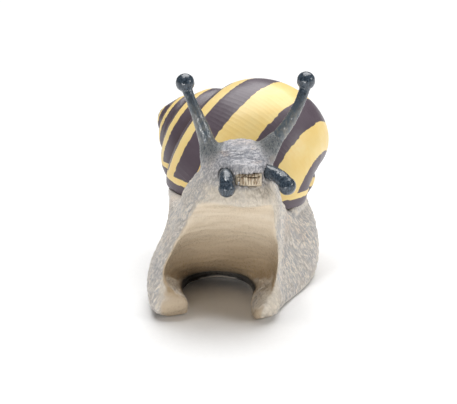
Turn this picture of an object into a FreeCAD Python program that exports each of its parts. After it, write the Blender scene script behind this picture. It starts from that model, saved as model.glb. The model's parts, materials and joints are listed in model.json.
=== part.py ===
import FreeCAD, Part
import math
import os
import re
from FreeCAD import Placement, Rotation, Vector

# Snail-shaped desk dispenser for adhesive tape.
# Units are millimetres. The origin lies on the desk, on the rear anti-slip pad.
# -Y is the snail's head, +Z is up, and +X is the side of the snail's left flank.

DIMENSIONS = {
    # stand
    "pad_thickness": 1.4,
    "plate_thickness": 3.0,
    "cavity_top": 24.0,
    "casing_floor": 30.0,
    "ballast_top": 22.0,
    "boss_radius": 4.0,
    "screw_radius": 1.4,
    "screw_head_radius": 2.7,
    "screw_head_height": 1.5,
    "small_screw_radius": 0.9,
    "small_head_radius": 1.7,
    "small_head_height": 0.9,
    # parting plane between the stand and the shell
    "rim_height": 42.3,
    "rim_slope": 0.08,
    "rim_gap": 0.15,
    # reel, on the middle plane at reel_x
    "reel_x": 2.0,
    "reel_y": 20.0,
    "reel_z": 62.0,
    "tape_width": 19.0,
    "tape_radius": 24.0,
    "core_outer_radius": 14.2,
    "core_inner_radius": 12.7,
    "hub_radius": 12.65,
    "hub_wall": 1.6,
    "flange_radius": 14.0,
    "flange_thickness": 1.2,
    "axle_radius": 3.0,
    "axle_length": 27.2,
    # cradle
    "cradle_half_width": 13.6,
    "upright_thickness": 2.4,
    "cradle_base_thickness": 2.4,
    "well_half_width": 14.0,
    "running_gap": 0.05,
    # guide roller
    "roller_radius": 4.0,
    "roller_length": 21.0,
    "roller_y": 48.35,
    "roller_z": 38.0,
    "roller_pin_radius": 1.5,
    "roller_pin_length": 33.0,
    # tape path and cutter
    "tape_thickness": 0.15,
    "tape_gap": 0.1,
    "tape_slope_deg": 17.0,
    "tape_end_y": 84.5,
    "channel_half_width": 11.5,
    "cutter_front_y": 66.0,
    "cutter_rear_y": 81.5,
    "cutter_bottom": 16.0,
    "cutter_half_width": 11.3,
    "blade_thickness": 0.6,
    "blade_half_width": 10.8,
    "tooth_pitch": 1.2,
    # hinge
    "hinge_y": 67.2,
    "hinge_z": 41.0,
    "knuckle_radius": 2.0,
    "hinge_pin_radius": 1.0,
    "lid_knuckle_half": 12.4,
    "base_knuckle_half": 21.0,
    "leaf_thickness": 2.0,
    # catch and stops
    "magnet_radius": 2.4,
    "magnet_length": 2.4,
    "magnet_y": -17.2,
    "bumper_radius": 1.8,
    # shell: a log-spiral tube wound around a slanted axis
    "shell_apex_x": -45.9,
    "shell_apex_y": 55.4,
    "shell_apex_z": 76.8,
    "shell_axis_azimuth": 34.0,
    "shell_axis_elevation": 23.9,
    "shell_growth_per_turn": 1.674,
    "shell_centre_radius": 27.5,
    "shell_drop": 83.8,
    "shell_tube_radius": 33.3,
    "shell_tube_height": 42.4,
    "shell_spin": -182.3,
    "shell_stretch_x": 1.05,
    "shell_stretch_y": 0.84,
    "cavity_scale": 0.86,
    "cavity_height_scale": 0.974,
}

doc = FreeCAD.newDocument("snail_tape_dispenser")
dims = doc.addObject("Spreadsheet::Sheet", "dims")
for row, (alias, number) in enumerate(DIMENSIONS.items(), start=1):
    dims.set("A%d" % row, alias)
    dims.set("B%d" % row, str(number))
    dims.setAlias("B%d" % row, alias)
doc.recompute()


def value(alias):
    return float(dims.get(alias))


# ---------------------------------------------------------------- helpers

TURN = {
    "x": Rotation(Vector(0, 1, 0), 90),
    "y": Rotation(Vector(1, 0, 0), -90),
    "z": Rotation(),
}


def formula(text):
    """Spreadsheet formula from a text that uses the plain dimension names."""
    return re.sub(r"[a-z][a-z_]{3,}", lambda name: "dims." + name.group(0), str(text))


def put(obj, at, axis="z"):
    """Place an object at bound coordinates, with its own Z turned along an axis."""
    obj.Placement = Placement(Vector(), TURN[axis])
    for letter, text in zip("xyz", at):
        obj.setExpression("Placement.Base." + letter, formula(text))
    return obj


def rod(name, radius, height):
    obj = doc.addObject("Part::Cylinder", name)
    obj.setExpression("Radius", formula(radius))
    obj.setExpression("Height", formula(height))
    return obj


def box(name, size):
    obj = doc.addObject("Part::Box", name)
    for prop, text in zip(("Length", "Width", "Height"), size):
        obj.setExpression(prop, formula(text))
    return obj


def cylinder(name, radius, height, at, axis="z"):
    return put(rod(name, radius, height), at, axis)


def block(name, size, at):
    return put(box(name, size), at)


def ball(name, radius, centre):
    obj = doc.addObject("Part::Sphere", name)
    obj.setExpression("Radius", formula(radius))
    return put(obj, centre)


def fuse(name, *parts):
    obj = doc.addObject("Part::MultiFuse", name)
    obj.Shapes = list(parts)
    return obj


def group(name, *parts):
    """Separate solids that share one node."""
    obj = doc.addObject("Part::Compound", name)
    obj.Links = list(parts)
    return obj


def cut(name, base, *tools):
    obj = doc.addObject("Part::Cut", name)
    obj.Base = base
    obj.Tool = tools[0] if len(tools) == 1 else fuse(name + "_tools", *tools)
    return obj


def closed_spline(name, points):
    curve = Part.BSplineCurve()
    curve.interpolate([Vector(*point) for point in points], PeriodicFlag=True)
    obj = doc.addObject("Part::Feature", name)
    obj.Shape = Part.Wire([curve.toShape()])
    return obj


def loft(name, sections):
    obj = doc.addObject("Part::Loft", name)
    obj.Sections = sections
    obj.Solid = True
    obj.Ruled = False
    return obj


def level_loft(name, levels):
    """Loft through level outlines, each given as (height, [(x, y), ...])."""
    sections = []
    for index, (height, outline) in enumerate(levels):
        points = [(x, y, height) for x, y in outline]
        sections.append(closed_spline("%s_level_%d" % (name, index), points))
    return loft(name, sections)


def polygon_prism(name, points, length, direction):
    """Straight-sided prism of a polygon, with its length bound to a formula."""
    outline = doc.addObject("Part::Feature", name + "_outline")
    corners = [Vector(*point) for point in points]
    outline.Shape = Part.makePolygon(corners + corners[:1])
    obj = doc.addObject("Part::Extrusion", name)
    obj.Base = outline
    obj.DirMode = "Custom"
    obj.Dir = Vector(*direction)
    obj.Solid = True
    obj.setExpression("LengthFwd", formula(length))
    return obj


RIM_TILT = math.degrees(math.atan(value("rim_slope")))
RIM = Placement(Vector(0, 0, value("rim_height")), Rotation(Vector(0, 1, 0), RIM_TILT))


def on_rim(obj, u, y, w, axis="z"):
    """Place an object in the parting plane's own frame: u across, w away from the desk."""
    obj.Placement = RIM.multiply(Placement(Vector(u, y, w), TURN[axis]))
    return obj


def rim_block(name, size, at):
    return on_rim(box(name, size), *at)


def rim_cylinder(name, radius, height, at):
    return on_rim(rod(name, radius, height), *at)


nodes = []


def node(name, obj):
    obj.Label = name
    nodes.append(obj)
    return obj


REEL_X = value("reel_x")
REEL_Y = value("reel_y")
REEL_Z = value("reel_z")


# ---------------------------------------------------------------- shell form

def unit(vector):
    return Vector(vector).normalize()


AZIMUTH = math.radians(value("shell_axis_azimuth"))
ELEVATION = math.radians(value("shell_axis_elevation"))
AXIS = Vector(-math.cos(AZIMUTH) * math.cos(ELEVATION),
              math.sin(AZIMUTH) * math.cos(ELEVATION),
              math.sin(ELEVATION))
AXIS_SIDE = unit(Vector(0, 1, 0).cross(AXIS))
AXIS_UP = AXIS.cross(AXIS_SIDE)
APEX = Vector(value("shell_apex_x"), value("shell_apex_y"), value("shell_apex_z"))
STRETCH_X = value("shell_stretch_x")
STRETCH_Y = value("shell_stretch_y")
WHORLS = 4
LIP_RUN_OUT = math.radians(70)
GROWTH = math.log(value("shell_growth_per_turn")) / (2 * math.pi)
SPIN = math.radians(value("shell_spin"))
CENTRE_RADIUS = value("shell_centre_radius")
DROP = value("shell_drop")
TUBE_RADIUS = value("shell_tube_radius")
TUBE_HEIGHT = value("shell_tube_height")


def inside_shell(x, y, z):
    """True inside any whorl of the tube. Past the lip the tube eases back."""
    local = Vector((x - APEX.x) / STRETCH_X, (y - APEX.y) / STRETCH_Y, z - APEX.z)
    side = local.dot(AXIS_SIDE)
    up = local.dot(AXIS_UP)
    height = local.dot(AXIS)
    radius = math.hypot(side, up)
    angle = math.atan2(up, side) - SPIN
    back = -(angle % (2 * math.pi))
    for whorl in range(-1, WHORLS):
        turn = back - 2 * math.pi * whorl
        if turn > LIP_RUN_OUT:
            continue
        if turn > 0:
            size = 1 - 0.36 * turn / LIP_RUN_OUT
        else:
            size = math.exp(GROWTH * turn)
        across = (radius / size - CENTRE_RADIUS) / TUBE_RADIUS
        along = (height / size + DROP) / TUBE_HEIGHT
        if across * across + along * along < 1:
            return True
    return False


SHELL_LEVELS = (36.5, 42, 48, 54, 60, 66, 72, 77.5, 82.5, 87, 91, 94, 96, 96.9)
SHELL_RAYS = 44
# The umbilicus on the right flank is a dent in the lowest outlines. It is filled to a flat side.
DENT_WINDOW = range(-4, 5)
DENT_FILL = 0.88


def shell_centre(height):
    """Middle of the level outline: it drifts towards the summit."""
    rise = max(0.0, (height - 36.5) / 60.5)
    return 2 + 7 * rise ** 1.5, 22 + 2.5 * rise


def reach(height, heading):
    """Distance from the level's middle to the shell's outside, along a heading."""
    middle_x, middle_y = shell_centre(height)
    step_x, step_y = math.cos(heading), math.sin(heading)
    far = 70.0
    while far > 1 and not inside_shell(middle_x + far * step_x, middle_y + far * step_y, height):
        far -= 1.0
    near, far = far, far + 1.0
    for _ in range(8):
        half = (near + far) / 2
        if inside_shell(middle_x + half * step_x, middle_y + half * step_y, height):
            near = half
        else:
            far = half
    return near


def without_dent(reaches):
    """The same reaches with a dent narrower than the window filled to near its brim."""
    size = len(reaches)
    widest = [max(reaches[(i + k) % size] for k in DENT_WINDOW) for i in range(size)]
    brim = [min(widest[(i + k) % size] for k in DENT_WINDOW) for i in range(size)]
    return [max(far, DENT_FILL * edge) for far, edge in zip(reaches, brim)]


def shell_loft(name, scale, height_scale, base=SHELL_LEVELS[0]):
    """The shell's form, scaled about its middle, with its lowest outline at the base height."""
    headings = [2 * math.pi * ray / SHELL_RAYS for ray in range(SHELL_RAYS)]
    sections = []
    for index, height in enumerate(SHELL_LEVELS):
        middle_x, middle_y = shell_centre(height)
        level = base + (height - SHELL_LEVELS[0]) * height_scale
        reaches = without_dent([reach(height, heading) for heading in headings])
        smooth = [0.25 * reaches[i - 1] + 0.5 * reaches[i] + 0.25 * reaches[(i + 1) % SHELL_RAYS]
                  for i in range(SHELL_RAYS)]
        points = [(middle_x + scale * far * math.cos(heading),
                   middle_y + scale * far * math.sin(heading), level)
                  for far, heading in zip(smooth, headings)]
        sections.append(closed_spline("%s_level_%d" % (name, index), points))
    return loft(name, sections)


# ---------------------------------------------------------------- body casing

# Each level runs around the body: front, right front, right shoulder, right flank,
# right rear, tail right, tail tip, tail left, left rear, left flank, left shoulder, left front.
TORSO = (
    (0.5, [(-14, -58), (12.5, -58), (22.5, -43), (37.5, -6), (28, 45), (14, 78), (1, 86),
           (-12, 78), (-26, 45), (-36, 5), (-42.5, -40), (-36, -57)]),
    (3.5, [(-14, -61), (15, -61), (24, -42.5), (39.5, -6), (29, 46), (15, 79), (1, 88),
           (-13, 79), (-27, 46), (-37.5, 5), (-45, -41), (-39.5, -60.5)]),
    (12, [(-14, -66), (16, -63.5), (22.5, -42), (40.5, -4), (29.5, 46), (15, 78), (1, 86.5),
          (-13, 78), (-28, 46), (-38, 5), (-46, -42), (-41, -62.5)]),
    (24, [(-12, -67), (18.2, -61), (20.5, -40), (38.5, -3), (30, 45), (15.5, 73), (1, 79.5),
          (-14, 73), (-29, 45), (-37, 4), (-42.5, -41), (-39.5, -61.5)]),
    (34, [(-9, -68), (19.4, -60.5), (20.6, -38), (34.5, 0), (30, 44), (17, 66), (0, 70),
          (-17, 66), (-31, 44), (-36.5, 4), (-37.5, -39), (-36, -61.5)]),
    (48, [(-7, -68), (19.2, -60.5), (20.6, -37), (33, 4), (30, 42), (18, 58), (0, 62),
          (-19, 58), (-32, 42), (-37, 4), (-32.5, -36), (-29, -61.5)]),
)

# Neck and head levels: front, right front, right, right back, back, left back, left, left front.
# The lowest four spread backwards into shoulders that meet the shell.
NECK = (
    (30, [(-9, -64.5), (14.5, -58), (18, -43), (20, -26), (-4, -16), (-30, -18), (-34, -38), (-31, -59)]),
    (40, [(-7.5, -66.6), (18, -59.5), (21.2, -42.5), (22.5, -17),
          (-4, -7), (-33, -9), (-33.4, -36), (-30.5, -60.3)]),
    (46, [(-6.5, -67.3), (18.3, -60), (21.2, -42.5), (21, -19),
          (-4, -8), (-30, -14), (-30.8, -35), (-28, -60.6)]),
    (50, [(-5.5, -68), (18.3, -60.6), (20.8, -43), (18, -23),
          (-4, -14), (-24.5, -18), (-29, -33), (-26.6, -60.4)]),
    (55, [(-4.5, -68.3), (17.8, -61.2), (20, -45), (14, -28),
          (-4, -21), (-19.5, -23), (-27.6, -35), (-24.8, -59.8)]),
    (61, [(-3, -68.5), (16.4, -62), (19, -47), (12, -31),
          (-4, -27), (-17.5, -28.5), (-25.8, -39), (-22.6, -59)]),
    (68, [(0, -68.5), (14.5, -62), (16.5, -49), (10, -35),
          (-2, -31), (-14.5, -34), (-21.5, -42), (-17.5, -59)]),
    (76, [(1, -67.5), (13.5, -61.5), (15, -51), (9, -39),
          (-1, -35), (-11, -38), (-16.5, -45), (-13, -59.5)]),
    (82, [(2, -63), (11, -59), (13, -51), (8, -42), (0, -39), (-9, -41), (-13, -47), (-9.5, -58)]),
    (86, [(2, -57.5), (7.5, -55.5), (9.5, -50), (6, -44.5), (0, -43), (-6, -44.5), (-9, -48.5), (-6, -55)]),
    (87.4, [(1.5, -53), (3.2, -52), (4, -50), (3, -48), (1, -47.4), (-1, -48), (-2, -50), (-1, -52.2)]),
)

# The vault under the front of the foot, open to the front. It undercuts the sole at the desk.
VAULT = (
    (-2, [(-24, -90), (-24, -66), (-28, -40), (-24, -14), (-11, -9.5),
          (1, -15), (5.5, -37), (6, -60), (6, -90)]),
    (3.5, [(-24, -90), (-24, -66), (-28, -40), (-24, -15), (-11, -10.5),
           (1, -16), (6, -38), (6.8, -61), (6.8, -90)]),
    (8, [(-24.3, -90), (-24.3, -66), (-29, -41), (-25, -22), (-11, -19),
         (3, -25), (8, -41), (9, -62), (9, -90)]),
    (13, [(-27.5, -90), (-27.5, -66), (-32, -44), (-26.5, -30), (-11, -26.5),
          (6, -31), (13.2, -45), (13.8, -62), (13.8, -90)]),
    (19, [(-34, -90), (-34, -66), (-35.2, -48), (-27, -36), (-10, -32.5),
          (8, -36), (16.2, -48), (16.8, -64), (16.8, -90)]),
    (27, [(-35.5, -90), (-35.5, -68), (-35, -53), (-27, -41), (-9, -38),
          (8, -41), (17.2, -52), (17.6, -66), (17.6, -90)]),
    (35, [(-32.5, -90), (-32.5, -70), (-31.5, -57), (-24, -47), (-8, -44),
          (8, -47), (17.2, -57), (17.8, -68), (17.8, -90)]),
    (43, [(-28.8, -90), (-28.8, -71), (-28, -61), (-20, -53), (-6, -50.5),
          (8, -53), (16.6, -60), (17.4, -70), (17.4, -90)]),
    (51, [(-24.5, -90), (-24.5, -73), (-23.8, -62.5), (-17, -57.5), (-4, -57),
          (8, -58.5), (15.6, -62.5), (17, -70), (17, -90)]),
    (57, [(-22.5, -90), (-22.5, -74), (-21.3, -63), (-14.5, -61), (-3, -61.5),
          (9, -62), (15.4, -62.5), (16.8, -71), (16.8, -90)]),
    (60, [(-19, -90), (-19, -76), (-18, -66), (-12, -66), (-2, -67.2),
          (7, -66.5), (13.6, -64), (15.6, -73), (15.6, -90)]),
)

CAVITY_OUTLINE = [(-25, -4), (28, -4), (29, 24), (19, 52), (-17, 52), (-27, 24)]
PLATE_OUTLINE = [(-27, -6), (30, -6), (31, 25), (20.5, 54), (-18.5, 54), (-29, 25)]
BOSSES = [(-20, 1.5), (23, 1.5), (14, 45), (-12, 45)]
FRONT_PADS = [(-33.5, -48), (14, -47)]


def grown(outline, amount):
    """Polygon moved outwards from its own middle by about the given amount."""
    middle_x = sum(x for x, y in outline) / len(outline)
    middle_y = sum(y for x, y in outline) / len(outline)
    result = []
    for x, y in outline:
        far = math.hypot(x - middle_x, y - middle_y)
        result.append((middle_x + (x - middle_x) * (far + amount) / far,
                       middle_y + (y - middle_y) * (far + amount) / far))
    return result


def upright_prism(name, outline, low, length):
    return polygon_prism(name, [(x, y, low) for x, y in outline], length, (0, 0, 1))


torso_full = level_loft("torso_full", TORSO)
torso_trim = rim_block("torso_trim", ("200", "200", "60"), (-100, -100, -value("rim_gap")))
torso = cut("torso", torso_full, torso_trim)
neck = level_loft("neck", NECK)
shell_room = shell_loft("shell_room", 1.02, 1.0)
shoulders = cut("shoulders", neck, shell_room)
body_solid = fuse("body_solid", torso, shoulders)
vault = level_loft("vault", VAULT)

PLATE_LOW = value("pad_thickness")
PLATE_HIGH = value("pad_thickness") + value("plate_thickness")
cavity_raw = upright_prism("cavity_raw", CAVITY_OUTLINE, PLATE_HIGH,
                           "cavity_top - pad_thickness - plate_thickness")
boss_cores = fuse("boss_cores", *[
    cylinder("boss_core_%d" % i, "boss_radius", "cavity_top - pad_thickness - plate_thickness",
             (x, y, "pad_thickness + plate_thickness"))
    for i, (x, y) in enumerate(BOSSES)])
cavity = cut("cavity", cavity_raw, boss_cores)
rebate = upright_prism("rebate", grown(PLATE_OUTLINE, 0.2), -2, "pad_thickness + plate_thickness + 2")
well = block("well", ("2 * well_half_width", "64", "40"),
             ("reel_x - well_half_width", "-10", "casing_floor"))

SLOPE = math.tan(math.radians(value("tape_slope_deg")))
SLOPE_SIN = math.sin(math.radians(value("tape_slope_deg")))
SLOPE_COS = math.cos(math.radians(value("tape_slope_deg")))
ROLLER_Y = value("roller_y")
ROLLER_Z = value("roller_z")
UNDER = value("roller_radius") + value("tape_gap") + value("tape_thickness")


def tape_under(y):
    """Height of the tape's sticky side where it runs down to the cutter."""
    start_y = ROLLER_Y - UNDER * SLOPE_SIN
    start_z = ROLLER_Z - UNDER * SLOPE_COS
    return start_z - SLOPE * (y - start_y)


CHANNEL_LEFT = REEL_X - value("channel_half_width")
channel = polygon_prism(
    "channel",
    [(CHANNEL_LEFT, 53, tape_under(53) - 2), (CHANNEL_LEFT, 96, tape_under(96) - 2),
     (CHANNEL_LEFT, 96, 70), (CHANNEL_LEFT, 53, 70)],
    "2 * channel_half_width", (1, 0, 0))
cutter_seat = block("cutter_seat", ("2 * cutter_half_width + 0.2", "30", "50"),
                    ("reel_x - cutter_half_width - 0.1", "cutter_front_y - 0.1", "cutter_bottom - 0.05"))
pin_slots = block("pin_slots", ("roller_pin_length + 0.4", "2 * roller_pin_radius + 0.1", "30"),
                  ("reel_x - roller_pin_length / 2 - 0.2", "roller_y - roller_pin_radius - 0.05", "roller_z"))
pin_seat = cylinder("pin_seat", "roller_pin_radius + 0.05", "roller_pin_length + 0.4",
                    ("reel_x - roller_pin_length / 2 - 0.2", "roller_y", "roller_z"), "x")
knuckle_room = cylinder("knuckle_room", "knuckle_radius + 0.35", "2 * base_knuckle_half + 0.6",
                        ("reel_x - base_knuckle_half - 0.3", "hinge_y", "hinge_z"), "x")
knuckle_reach = block("knuckle_reach", ("2 * base_knuckle_half + 0.6", "12", "12"),
                      ("reel_x - base_knuckle_half - 0.3", "hinge_y", "hinge_z - knuckle_radius - 0.35"))
LUG_Y = 58.0
lug_seats = [rim_block("lug_seat_%d" % i, ("8.2", "hinge_y - 58 + 0.1", "6"),
                       (REEL_X + start, LUG_Y - 0.1, -2.15))
             for i, start in enumerate((-21.1, 12.9))]
lug_holes = [rim_cylinder("lug_hole_%d" % i, "small_screw_radius", "10",
                          (REEL_X + side * 17, 61.5, -9.0))
             for i, side in enumerate((-1, 1))]
magnet_seat = rim_cylinder("magnet_seat", "magnet_radius", "6", (0, value("magnet_y"), -2.6))
BUMPERS = [(-34.0, 16.0), (31.5, 16.0)]
bumper_seats = [rim_cylinder("bumper_seat_%d" % i, "bumper_radius", "5", (u, y, -1.4))
                for i, (u, y) in enumerate(BUMPERS)]
front_pad_seats = [cylinder("front_pad_seat_%d" % i, "3.2", "4", (x, y, -2.2))
                   for i, (x, y) in enumerate(FRONT_PADS)]
boss_holes = [cylinder("boss_hole_%d" % i, "screw_radius", "12",
                       (x, y, "pad_thickness + plate_thickness - 1"))
              for i, (x, y) in enumerate(BOSSES)]
CRADLE_SCREWS = [(-8, -15), (8, -15), (-8, 15), (8, 15)]
cradle_holes = [cylinder("cradle_hole_%d" % i, "screw_radius", "6",
                         ("reel_x + %g" % dx, "reel_y + %g" % dy, "casing_floor - 5"))
                for i, (dx, dy) in enumerate(CRADLE_SCREWS)]


# ---------------------------------------------------------------- head fittings

def limb(name, path, radii, tip_radius):
    """Tapering round limb through the path's points, ending in a ball."""
    rings = []
    for index, (point, radius) in enumerate(zip(path, radii)):
        before = Vector(*path[max(index - 1, 0)])
        after = Vector(*path[min(index + 1, len(path) - 1)])
        circle = Part.Circle(Vector(*point), after.sub(before).normalize(), radius)
        ring = doc.addObject("Part::Feature", "%s_ring_%d" % (name, index))
        ring.Shape = Part.Wire([circle.toShape()])
        rings.append(ring)
    return fuse(name, loft(name + "_stem", rings), ball(name + "_tip", tip_radius, path[-1]))


left_stalk = limb(
    "left_stalk",
    [(-10.5, -49.5, 73), (-12.8, -50, 78), (-15.2, -49.8, 85), (-18, -49, 93.5), (-21.6, -47.3, 102.5),
     (-24, -45.3, 108), (-26.1, -43.5, 114)],
    (4.6, 4.5, 4.0, 3.35, 2.6, 2.4, 2.9), 4.5)
right_stalk = limb(
    "right_stalk",
    [(8.2, -50, 75.5), (11.3, -50, 80), (16.2, -49.8, 86.8), (21.8, -49, 93.8), (27, -47.3, 102.5),
     (29.7, -45.3, 108.5), (31.3, -43.5, 115)],
    (4.2, 4.1, 3.5, 3.0, 2.6, 2.5, 2.9), 4.4)
left_feeler = limb(
    "left_feeler",
    [(-6.6, -58, 74.2), (-6.6, -63, 74.6), (-6.5, -67.6, 74), (-6.3, -70.4, 72.4), (-6.2, -71.9, 70.3)],
    (3.2, 3.3, 3.5, 3.6, 3.5), 4.0)
right_feeler = limb(
    "right_feeler",
    [(10.4, -56, 74.5), (13, -60, 75), (16.8, -64.2, 74.8), (19.9, -67, 73.3), (22, -68.6, 70.7)],
    (3.3, 3.4, 3.5, 3.6, 3.6), 4.3)

MOUTH_X = 4.0
MOUTH_Z = 72.8
mouth_rib_parts = []
for rib in range(7):
    offset = (rib - 3) * 1.75
    mouth_rib_parts.append(cylinder("mouth_rib_%d" % rib, 1.15, 5.6 - 0.16 * (rib - 3) ** 2,
                                    (MOUTH_X + offset, -67.4 + 0.07 * (rib - 3) ** 2,
                                     MOUTH_Z - 2.8 + 0.08 * (rib - 3) ** 2)))
mouth_back = block("mouth_back", ("12.4", "3.4", "6.2"), (MOUTH_X - 6.2, -67, MOUTH_Z - 3.1))
mouth = fuse("mouth", mouth_back, *mouth_rib_parts)

body_casing = cut(
    "body_casing_solid", body_solid, vault, cavity, rebate, well, channel, cutter_seat,
    pin_slots, pin_seat, knuckle_room, knuckle_reach, magnet_seat, mouth,
    left_stalk, right_stalk, left_feeler, right_feeler,
    *(lug_seats + lug_holes + bumper_seats + front_pad_seats + boss_holes + cradle_holes))
node("body_casing", body_casing)
node("eye_stalk_left", left_stalk)
node("eye_stalk_right", right_stalk)
node("feeler_left", left_feeler)
node("feeler_right", right_feeler)
node("mouth_insert", mouth)


# ---------------------------------------------------------------- underside

def base_screw(index, x, y):
    """Pan-head screw, driven upwards from its sink in the base plate."""
    name = "base_screw_%d" % index
    head = cylinder(name + "_head", "screw_head_radius", "screw_head_height", (x, y, "pad_thickness"))
    shank = cylinder(name + "_shank", "screw_radius", "9", (x, y, "pad_thickness + screw_head_height"))
    return fuse(name, head, shank)


plate_blank = upright_prism("plate_blank", PLATE_OUTLINE, PLATE_LOW, "plate_thickness")
plate_bores = [cylinder("plate_bore_%d" % i, "screw_radius + 0.1", "10", (x, y, 0))
               for i, (x, y) in enumerate(BOSSES)]
plate_sinks = [cylinder("plate_sink_%d" % i, "screw_head_radius + 0.2", "1.7", (x, y, "pad_thickness - 0.1"))
               for i, (x, y) in enumerate(BOSSES)]
node("base_plate", cut("base_plate_solid", plate_blank, *(plate_bores + plate_sinks)))

pad_blank = block("pad_blank", ("40", "32", "pad_thickness"), ("-18", "6.5", "0"))
pad_front = block("pad_front", ("34", "13", "pad_thickness"), ("-15.5", "-6", "0"))
node("base_pad", fuse("base_pad_solid", pad_blank, pad_front))

pads = [cylinder("front_pad_%d" % i, "3.1", "1.75", (x, y, 0)) for i, (x, y) in enumerate(FRONT_PADS)]
node("front_pads", group("front_pads_group", *pads))

base_screws = [base_screw(i, x, y) for i, (x, y) in enumerate(BOSSES)]
node("base_screws", group("base_screws_group", *base_screws))

ballast_blank = upright_prism("ballast_blank", grown(CAVITY_OUTLINE, -0.8), PLATE_HIGH,
                              "ballast_top - pad_thickness - plate_thickness")
ballast_holes = [cylinder("ballast_hole_%d" % i, "boss_radius + 0.3", "30", (x, y, 0))
                 for i, (x, y) in enumerate(BOSSES)]
node("ballast_weight", cut("ballast_weight_solid", ballast_blank, *ballast_holes))


# ---------------------------------------------------------------- reel cradle

cradle_base = block("cradle_base", ("2 * cradle_half_width", "42", "cradle_base_thickness"),
                    ("reel_x - cradle_half_width", "reel_y - 21", "casing_floor"))
UPRIGHT_LOW = value("casing_floor")
UPRIGHT_HIGH = REEL_Z + 5
uprights = []
for index, start in enumerate((-value("cradle_half_width"),
                               value("cradle_half_width") - value("upright_thickness"))):
    x = REEL_X + start
    profile = [(x, REEL_Y - 14, UPRIGHT_LOW), (x, REEL_Y + 14, UPRIGHT_LOW),
               (x, REEL_Y + 8, UPRIGHT_HIGH), (x, REEL_Y - 8, UPRIGHT_HIGH)]
    uprights.append(polygon_prism("upright_%d" % index, profile, "upright_thickness", (1, 0, 0)))
axle_seat = cylinder("axle_seat", "axle_radius + running_gap", "40",
                     ("reel_x - 20", "reel_y", "reel_z"), "x")
axle_slot = block("axle_slot", ("40", "2 * axle_radius + 2 * running_gap", "20"),
                  ("reel_x - 20", "reel_y - axle_radius - running_gap", "reel_z"))
window = block("cradle_window", ("40", "10", "14"), ("reel_x - 20", "reel_y - 5", "casing_floor + 7"))
cradle_bores = [cylinder("cradle_bore_%d" % i, "screw_radius + 0.1", "10",
                         ("reel_x + %g" % dx, "reel_y + %g" % dy, "casing_floor - 2"))
                for i, (dx, dy) in enumerate(CRADLE_SCREWS)]
cradle_solid = fuse("cradle_solid", cradle_base, *uprights)
node("roll_cradle", cut("roll_cradle_solid", cradle_solid, axle_seat, axle_slot, window, *cradle_bores))

cradle_screw_list = []
for i, (dx, dy) in enumerate(CRADLE_SCREWS):
    place_x, place_y = "reel_x + %g" % dx, "reel_y + %g" % dy
    head = cylinder("cradle_screw_head_%d" % i, "screw_head_radius", "screw_head_height",
                    (place_x, place_y, "casing_floor + cradle_base_thickness"))
    shank = cylinder("cradle_screw_shank_%d" % i, "screw_radius", "cradle_base_thickness + 4.5",
                     (place_x, place_y, "casing_floor - 4.5"))
    cradle_screw_list.append(fuse("cradle_screw_%d" % i, head, shank))
node("cradle_screws", group("cradle_screws_group", *cradle_screw_list))


# ---------------------------------------------------------------- reel

hub_ring = cylinder("hub_ring", "hub_radius", "tape_width",
                    ("reel_x - tape_width / 2", "reel_y", "reel_z"), "x")
hub_hollow = cylinder("hub_hollow", "hub_radius - hub_wall", "tape_width + 2",
                      ("reel_x - tape_width / 2 - 1", "reel_y", "reel_z"), "x")
hub_tube = cut("hub_tube", hub_ring, hub_hollow)
hub_flange_blank = cylinder("hub_flange_blank", "flange_radius", "flange_thickness",
                            ("reel_x - tape_width / 2 - flange_thickness - 0.1", "reel_y", "reel_z"), "x")
hub_neck = cylinder("hub_neck", "hub_radius", "0.2",
                    ("reel_x - tape_width / 2 - 0.15", "reel_y", "reel_z"), "x")
hub_boss = cylinder("hub_boss", "axle_radius + 2", "tape_width - 1",
                    ("reel_x - tape_width / 2 - flange_thickness - 0.1", "reel_y", "reel_z"), "x")
HUB_SPOKES = 5
hub_spokes = []
for spoke in range(HUB_SPOKES):
    bar = box("hub_spoke_%d" % spoke, ("2.2", "hub_radius - 2", "10"))
    spin = Rotation(Vector(1, 0, 0), spoke * 360 / HUB_SPOKES)
    around_reel = Placement(Vector(REEL_X, REEL_Y, REEL_Z), spin.multiply(TURN["x"]))
    bar.Placement = around_reel.multiply(Placement(Vector(-1.1, 1.5, -5), Rotation()))
    hub_spokes.append(bar)
hub_solid = fuse("hub_solid", hub_tube, hub_flange_blank, hub_neck, hub_boss, *hub_spokes)
hub_bore = cylinder("hub_bore", "axle_radius", "60", ("reel_x - 30", "reel_y", "reel_z"), "x")
flange_holes = []
for hole in range(HUB_SPOKES):
    angle = 2 * math.pi * (hole + 0.5) / HUB_SPOKES
    flange_holes.append(cylinder("flange_hole_%d" % hole, 2.1, 4,
                                 ("reel_x - tape_width / 2 - 3",
                                  "reel_y + %g" % (8 * math.cos(angle)),
                                  "reel_z + %g" % (8 * math.sin(angle))), "x"))
node("hub", cut("hub_finished", hub_solid, hub_bore, *flange_holes))

cap_disc = cylinder("cap_disc", "flange_radius", "flange_thickness",
                    ("reel_x + tape_width / 2 + 0.1", "reel_y", "reel_z"), "x")
cap_spigot = cylinder("cap_spigot", "hub_radius - hub_wall - 0.05", "3",
                      ("reel_x + tape_width / 2 - 2.8", "reel_y", "reel_z"), "x")
cap_room = cylinder("cap_room", "hub_radius - hub_wall - 1.4", "2.9",
                    ("reel_x + tape_width / 2 - 2.85", "reel_y", "reel_z"), "x")
cap_bore = cylinder("cap_bore", "axle_radius", "40", ("reel_x - 10", "reel_y", "reel_z"), "x")
node("hub_cap", cut("hub_cap_solid", fuse("cap_solid", cap_disc, cap_spigot), cap_room, cap_bore))

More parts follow.
